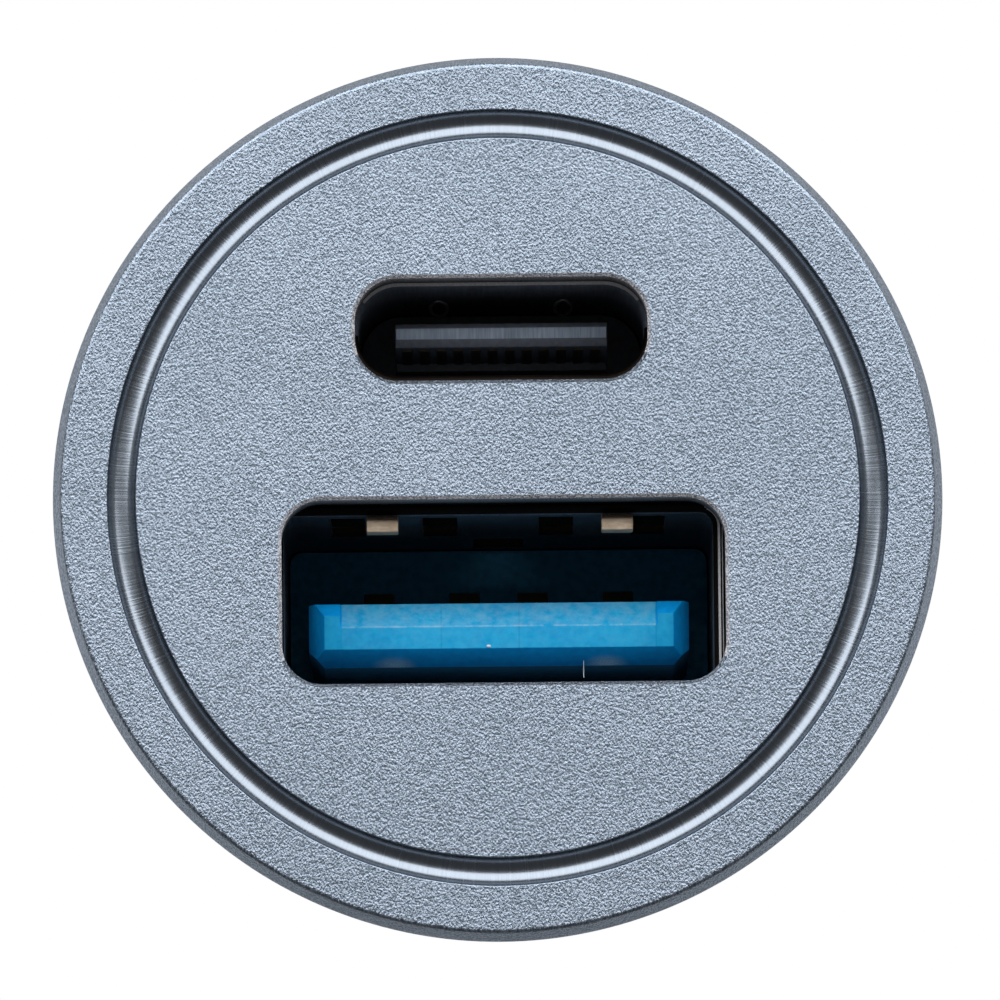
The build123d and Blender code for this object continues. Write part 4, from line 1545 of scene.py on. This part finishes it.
@dataclass
class Studio:
    """Camera at the photograph's angle, one soft light, pale floor and white surroundings.

    Brightnesses are in units of the background's white.
    """

    elevation_deg: float = -6.5
    roll_deg: float = 0.58
    distance: float = 0.4
    px_per_m: float = 34530.0
    image_px: float = 1000.0
    face_px: tuple[float, float] = (497.6, 496.4)
    sensor: float = 36.0
    clip: tuple[float, float] = (0.01, 20.0)
    key_elevation_deg: float = 42.0
    key_distance: float = 0.6
    key_size: tuple[float, float] = (1.4, 0.66)
    key_radiance: float = 2.95
    floor_z: float = -0.08
    floor_size: float = 6.0
    floor_fade: tuple[float, float] = (0.2, 0.6)
    floor_colour: str = "#F2F2F2"
    floor_roughness: float = 0.9
    dark_floor: tuple[float, float] = (-0.005, 0.075)
    soft_floor: float = 0.26
    soft_heights: tuple[float, float] = (0.15, 0.35)
    soft_front: tuple[float, float] = (0.22, 0.4)
    soft_behind: float = 0.8
    mirrored_heights: tuple[float, float] = (-0.25, -0.05)
    mirrored_front: tuple[float, float] = (0.1, 0.28)
    mirrored_behind: float = 0.75
    behind: tuple[float, float] = (0.12, 0.42)

    def build(self, face_y: float) -> None:
        """Make the camera, the light, the floor and the world.

        Args:
            face_y: Station of the plug's face.
        """
        self.camera(AXIS * face_y)
        self.softbox()
        self.floor()
        self.world()
        bpy.context.scene.view_settings.view_transform = "Standard"

    def camera(self, face: Vector) -> None:
        """Aim the camera so that the face's centre lands on its pixel.

        Args:
            face: Centre of the face.
        """
        data = bpy.data.cameras.new("photo_camera")
        data.sensor_width = self.sensor
        data.lens = self.sensor * self.distance / (self.image_px / self.px_per_m)
        data.clip_start, data.clip_end = self.clip
        tilt = math.radians(self.elevation_deg)
        forward = Vector((0.0, math.cos(tilt), -math.sin(tilt)))
        roll = Matrix.Rotation(-math.radians(self.roll_deg), 3, "Z")
        turn = forward.to_track_quat("-Z", "Y").to_matrix() @ roll
        across = (self.image_px / 2 - self.face_px[0]) / self.px_per_m
        upward = (self.face_px[1] - self.image_px / 2) / self.px_per_m
        place = face - forward * self.distance + turn @ Vector((across, upward, 0.0))
        camera = bpy.data.objects.new("photo_camera", data)
        camera.matrix_world = Matrix.Translation(place) @ turn.to_4x4()
        bpy.context.scene.collection.objects.link(camera)
        bpy.context.scene.camera = camera

    def softbox(self) -> None:
        """Add a wide light above and in front of the plug, brighter than the white background."""
        data = bpy.data.lights.new("key_softbox", "AREA")
        data.shape = "RECTANGLE"
        data.size, data.size_y = self.key_size
        data.energy = self.key_radiance * math.pi * self.key_size[0] * self.key_size[1]
        rise = math.radians(self.key_elevation_deg)
        light = bpy.data.objects.new("key_softbox", data)
        light.location = Vector((0.0, -math.cos(rise), math.sin(rise))) * self.key_distance
        light.rotation_mode = "QUATERNION"
        light.rotation_quaternion = (-light.location).to_track_quat("-Z", "Y")
        light.visible_camera = False
        bpy.context.scene.collection.objects.link(light)

    def floor(self) -> None:
        """Add the pale floor, some way below the plug."""
        bm = bmesh.new()
        bmesh.ops.create_grid(bm, x_segments=1, y_segments=1, size=self.floor_size / 2)
        bmesh.ops.translate(bm, verts=bm.verts[:], vec=UP * self.floor_z)
        mesh = bpy.data.meshes.new("studio_floor")
        bm.to_mesh(mesh)
        bm.free()
        mesh.materials.append(self.floor_material())
        floor = bpy.data.objects.new("studio_floor", mesh)
        bpy.context.scene.collection.objects.link(floor)
        floor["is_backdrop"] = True

    def floor_material(self) -> Material:
        """Pale floor that fades to white far off, and lights and is mirrored as the room below the plug.

        Returns:
            The material.
        """
        material = bpy.data.materials.new("pale_floor")
        tree = fresh_tree(material)
        place = add_node(tree, "ShaderNodeTexCoord").outputs["Object"]
        parts = add_node(tree, "ShaderNodeSeparateXYZ", links={"Vector": place})
        path = add_node(tree, "ShaderNodeLightPath")
        rise = {
            "From Min": self.dark_floor[0],
            "From Max": self.dark_floor[1],
            "To Min": self.mirrored_front[0],
            "To Max": self.mirrored_behind,
        }
        mirrored = add_node(tree, "ShaderNodeMapRange", values=rise, links={"Value": parts.outputs["Y"]})
        links = {"Factor": path.outputs["Is Diffuse Ray"], "A": mirrored}
        level = add_node(tree, "ShaderNodeMix", {"data_type": "FLOAT"}, {"B": self.soft_floor}, links)
        room = add_node(tree, "ShaderNodeEmission", links={"Strength": level})
        surface = {"Base Color": linear(self.floor_colour), "Roughness": self.floor_roughness}
        pale = add_node(tree, "ShaderNodeBsdfPrincipled", values=surface)
        white = add_node(tree, "ShaderNodeEmission", values={"Strength": 1.0})
        away = add_node(tree, "ShaderNodeVectorMath", {"operation": "LENGTH"}, links={0: place})
        fade = {"From Min": self.floor_fade[0], "From Max": self.floor_fade[1]}
        far = add_node(tree, "ShaderNodeMapRange", values=fade, links={"Value": away})
        shown = add_node(tree, "ShaderNodeMixShader", links={0: far, 1: pale, 2: white})
        links = {0: path.outputs["Is Camera Ray"], 1: room, 2: shown}
        either = add_node(tree, "ShaderNodeMixShader", links=links)
        add_node(tree, "ShaderNodeOutputMaterial", links={"Surface": either})
        return material

    def world(self) -> None:
        """White for the camera and behind the plug, dim in front of it and dark low in front."""
        world = bpy.data.worlds.new("studio")
        bpy.context.scene.world = world
        world.cycles.sampling_method = "NONE"
        tree = fresh_tree(world)
        way = add_node(tree, "ShaderNodeTexCoord").outputs["Generated"]
        parts = add_node(tree, "ShaderNodeSeparateXYZ", links={"Vector": way})
        soft = self.room(tree, parts, self.soft_heights, self.soft_front, self.soft_behind)
        mirrored = self.room(tree, parts, self.mirrored_heights, self.mirrored_front, self.mirrored_behind)
        path = add_node(tree, "ShaderNodeLightPath")
        rays = {0: path.outputs["Is Glossy Ray"], 1: path.outputs["Is Transmission Ray"]}
        through = add_node(tree, "ShaderNodeMath", {"operation": "MAXIMUM"}, links=rays)
        mixing = {"data_type": "FLOAT"}
        links = {"Factor": through, "A": soft, "B": mirrored}
        indirect = add_node(tree, "ShaderNodeMix", mixing, links=links)
        links = {"Factor": path.outputs["Is Camera Ray"], "A": indirect}
        seen = add_node(tree, "ShaderNodeMix", mixing, {"B": 1.0}, links)
        white = {"Color": (1.0, 1.0, 1.0, 1.0)}
        background = add_node(tree, "ShaderNodeBackground", values=white, links={"Strength": seen})
        add_node(tree, "ShaderNodeOutputWorld", links={"Surface": background})

    def room(
        self,
        tree: NodeTree,
        parts: Node,
        heights: tuple[float, float],
        levels: tuple[float, float],
        behind: float,
    ) -> Node:
        """Brightness of the room by direction.

        Args:
            tree: Node tree of the world.
            parts: Node that gives the direction's parts.
            heights: Upward parts between which the front changes from its low to its high level.
            levels: Low and high level in front of the plug.
            behind: Level behind it.

        Returns:
            The node that gives the brightness.
        """
        rise = {"From Min": heights[0], "From Max": heights[1], "To Min": levels[0], "To Max": levels[1]}
        front = add_node(tree, "ShaderNodeMapRange", values=rise, links={"Value": parts.outputs["Z"]})
        turn = {"From Min": self.behind[0], "From Max": self.behind[1], "To Max": behind}
        links = {"Value": parts.outputs["Y"], "To Min": front}
        return add_node(tree, "ShaderNodeMapRange", values=turn, links=links)


def main() -> None:
    """Load the frame, build and report each sub-assembly's pieces and set the studio."""
    logging.basicConfig(level=logging.INFO, format="%(name)s %(message)s")
    for leftover in list(bpy.data.objects):
        bpy.data.objects.remove(leftover)
    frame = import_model()
    cad_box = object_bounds()
    for assembly in (HeadShell, Sockets, GroundClips, NoseAndTip, Electronics):
        for piece in assembly(frame["nodes"]).build():
            LOG.info("%s: %s, %d faces", assembly.__name__, piece.name, len(piece.data.polygons))
    Studio().build(cad_box[0].y)


if __name__ == "__main__":
    main()
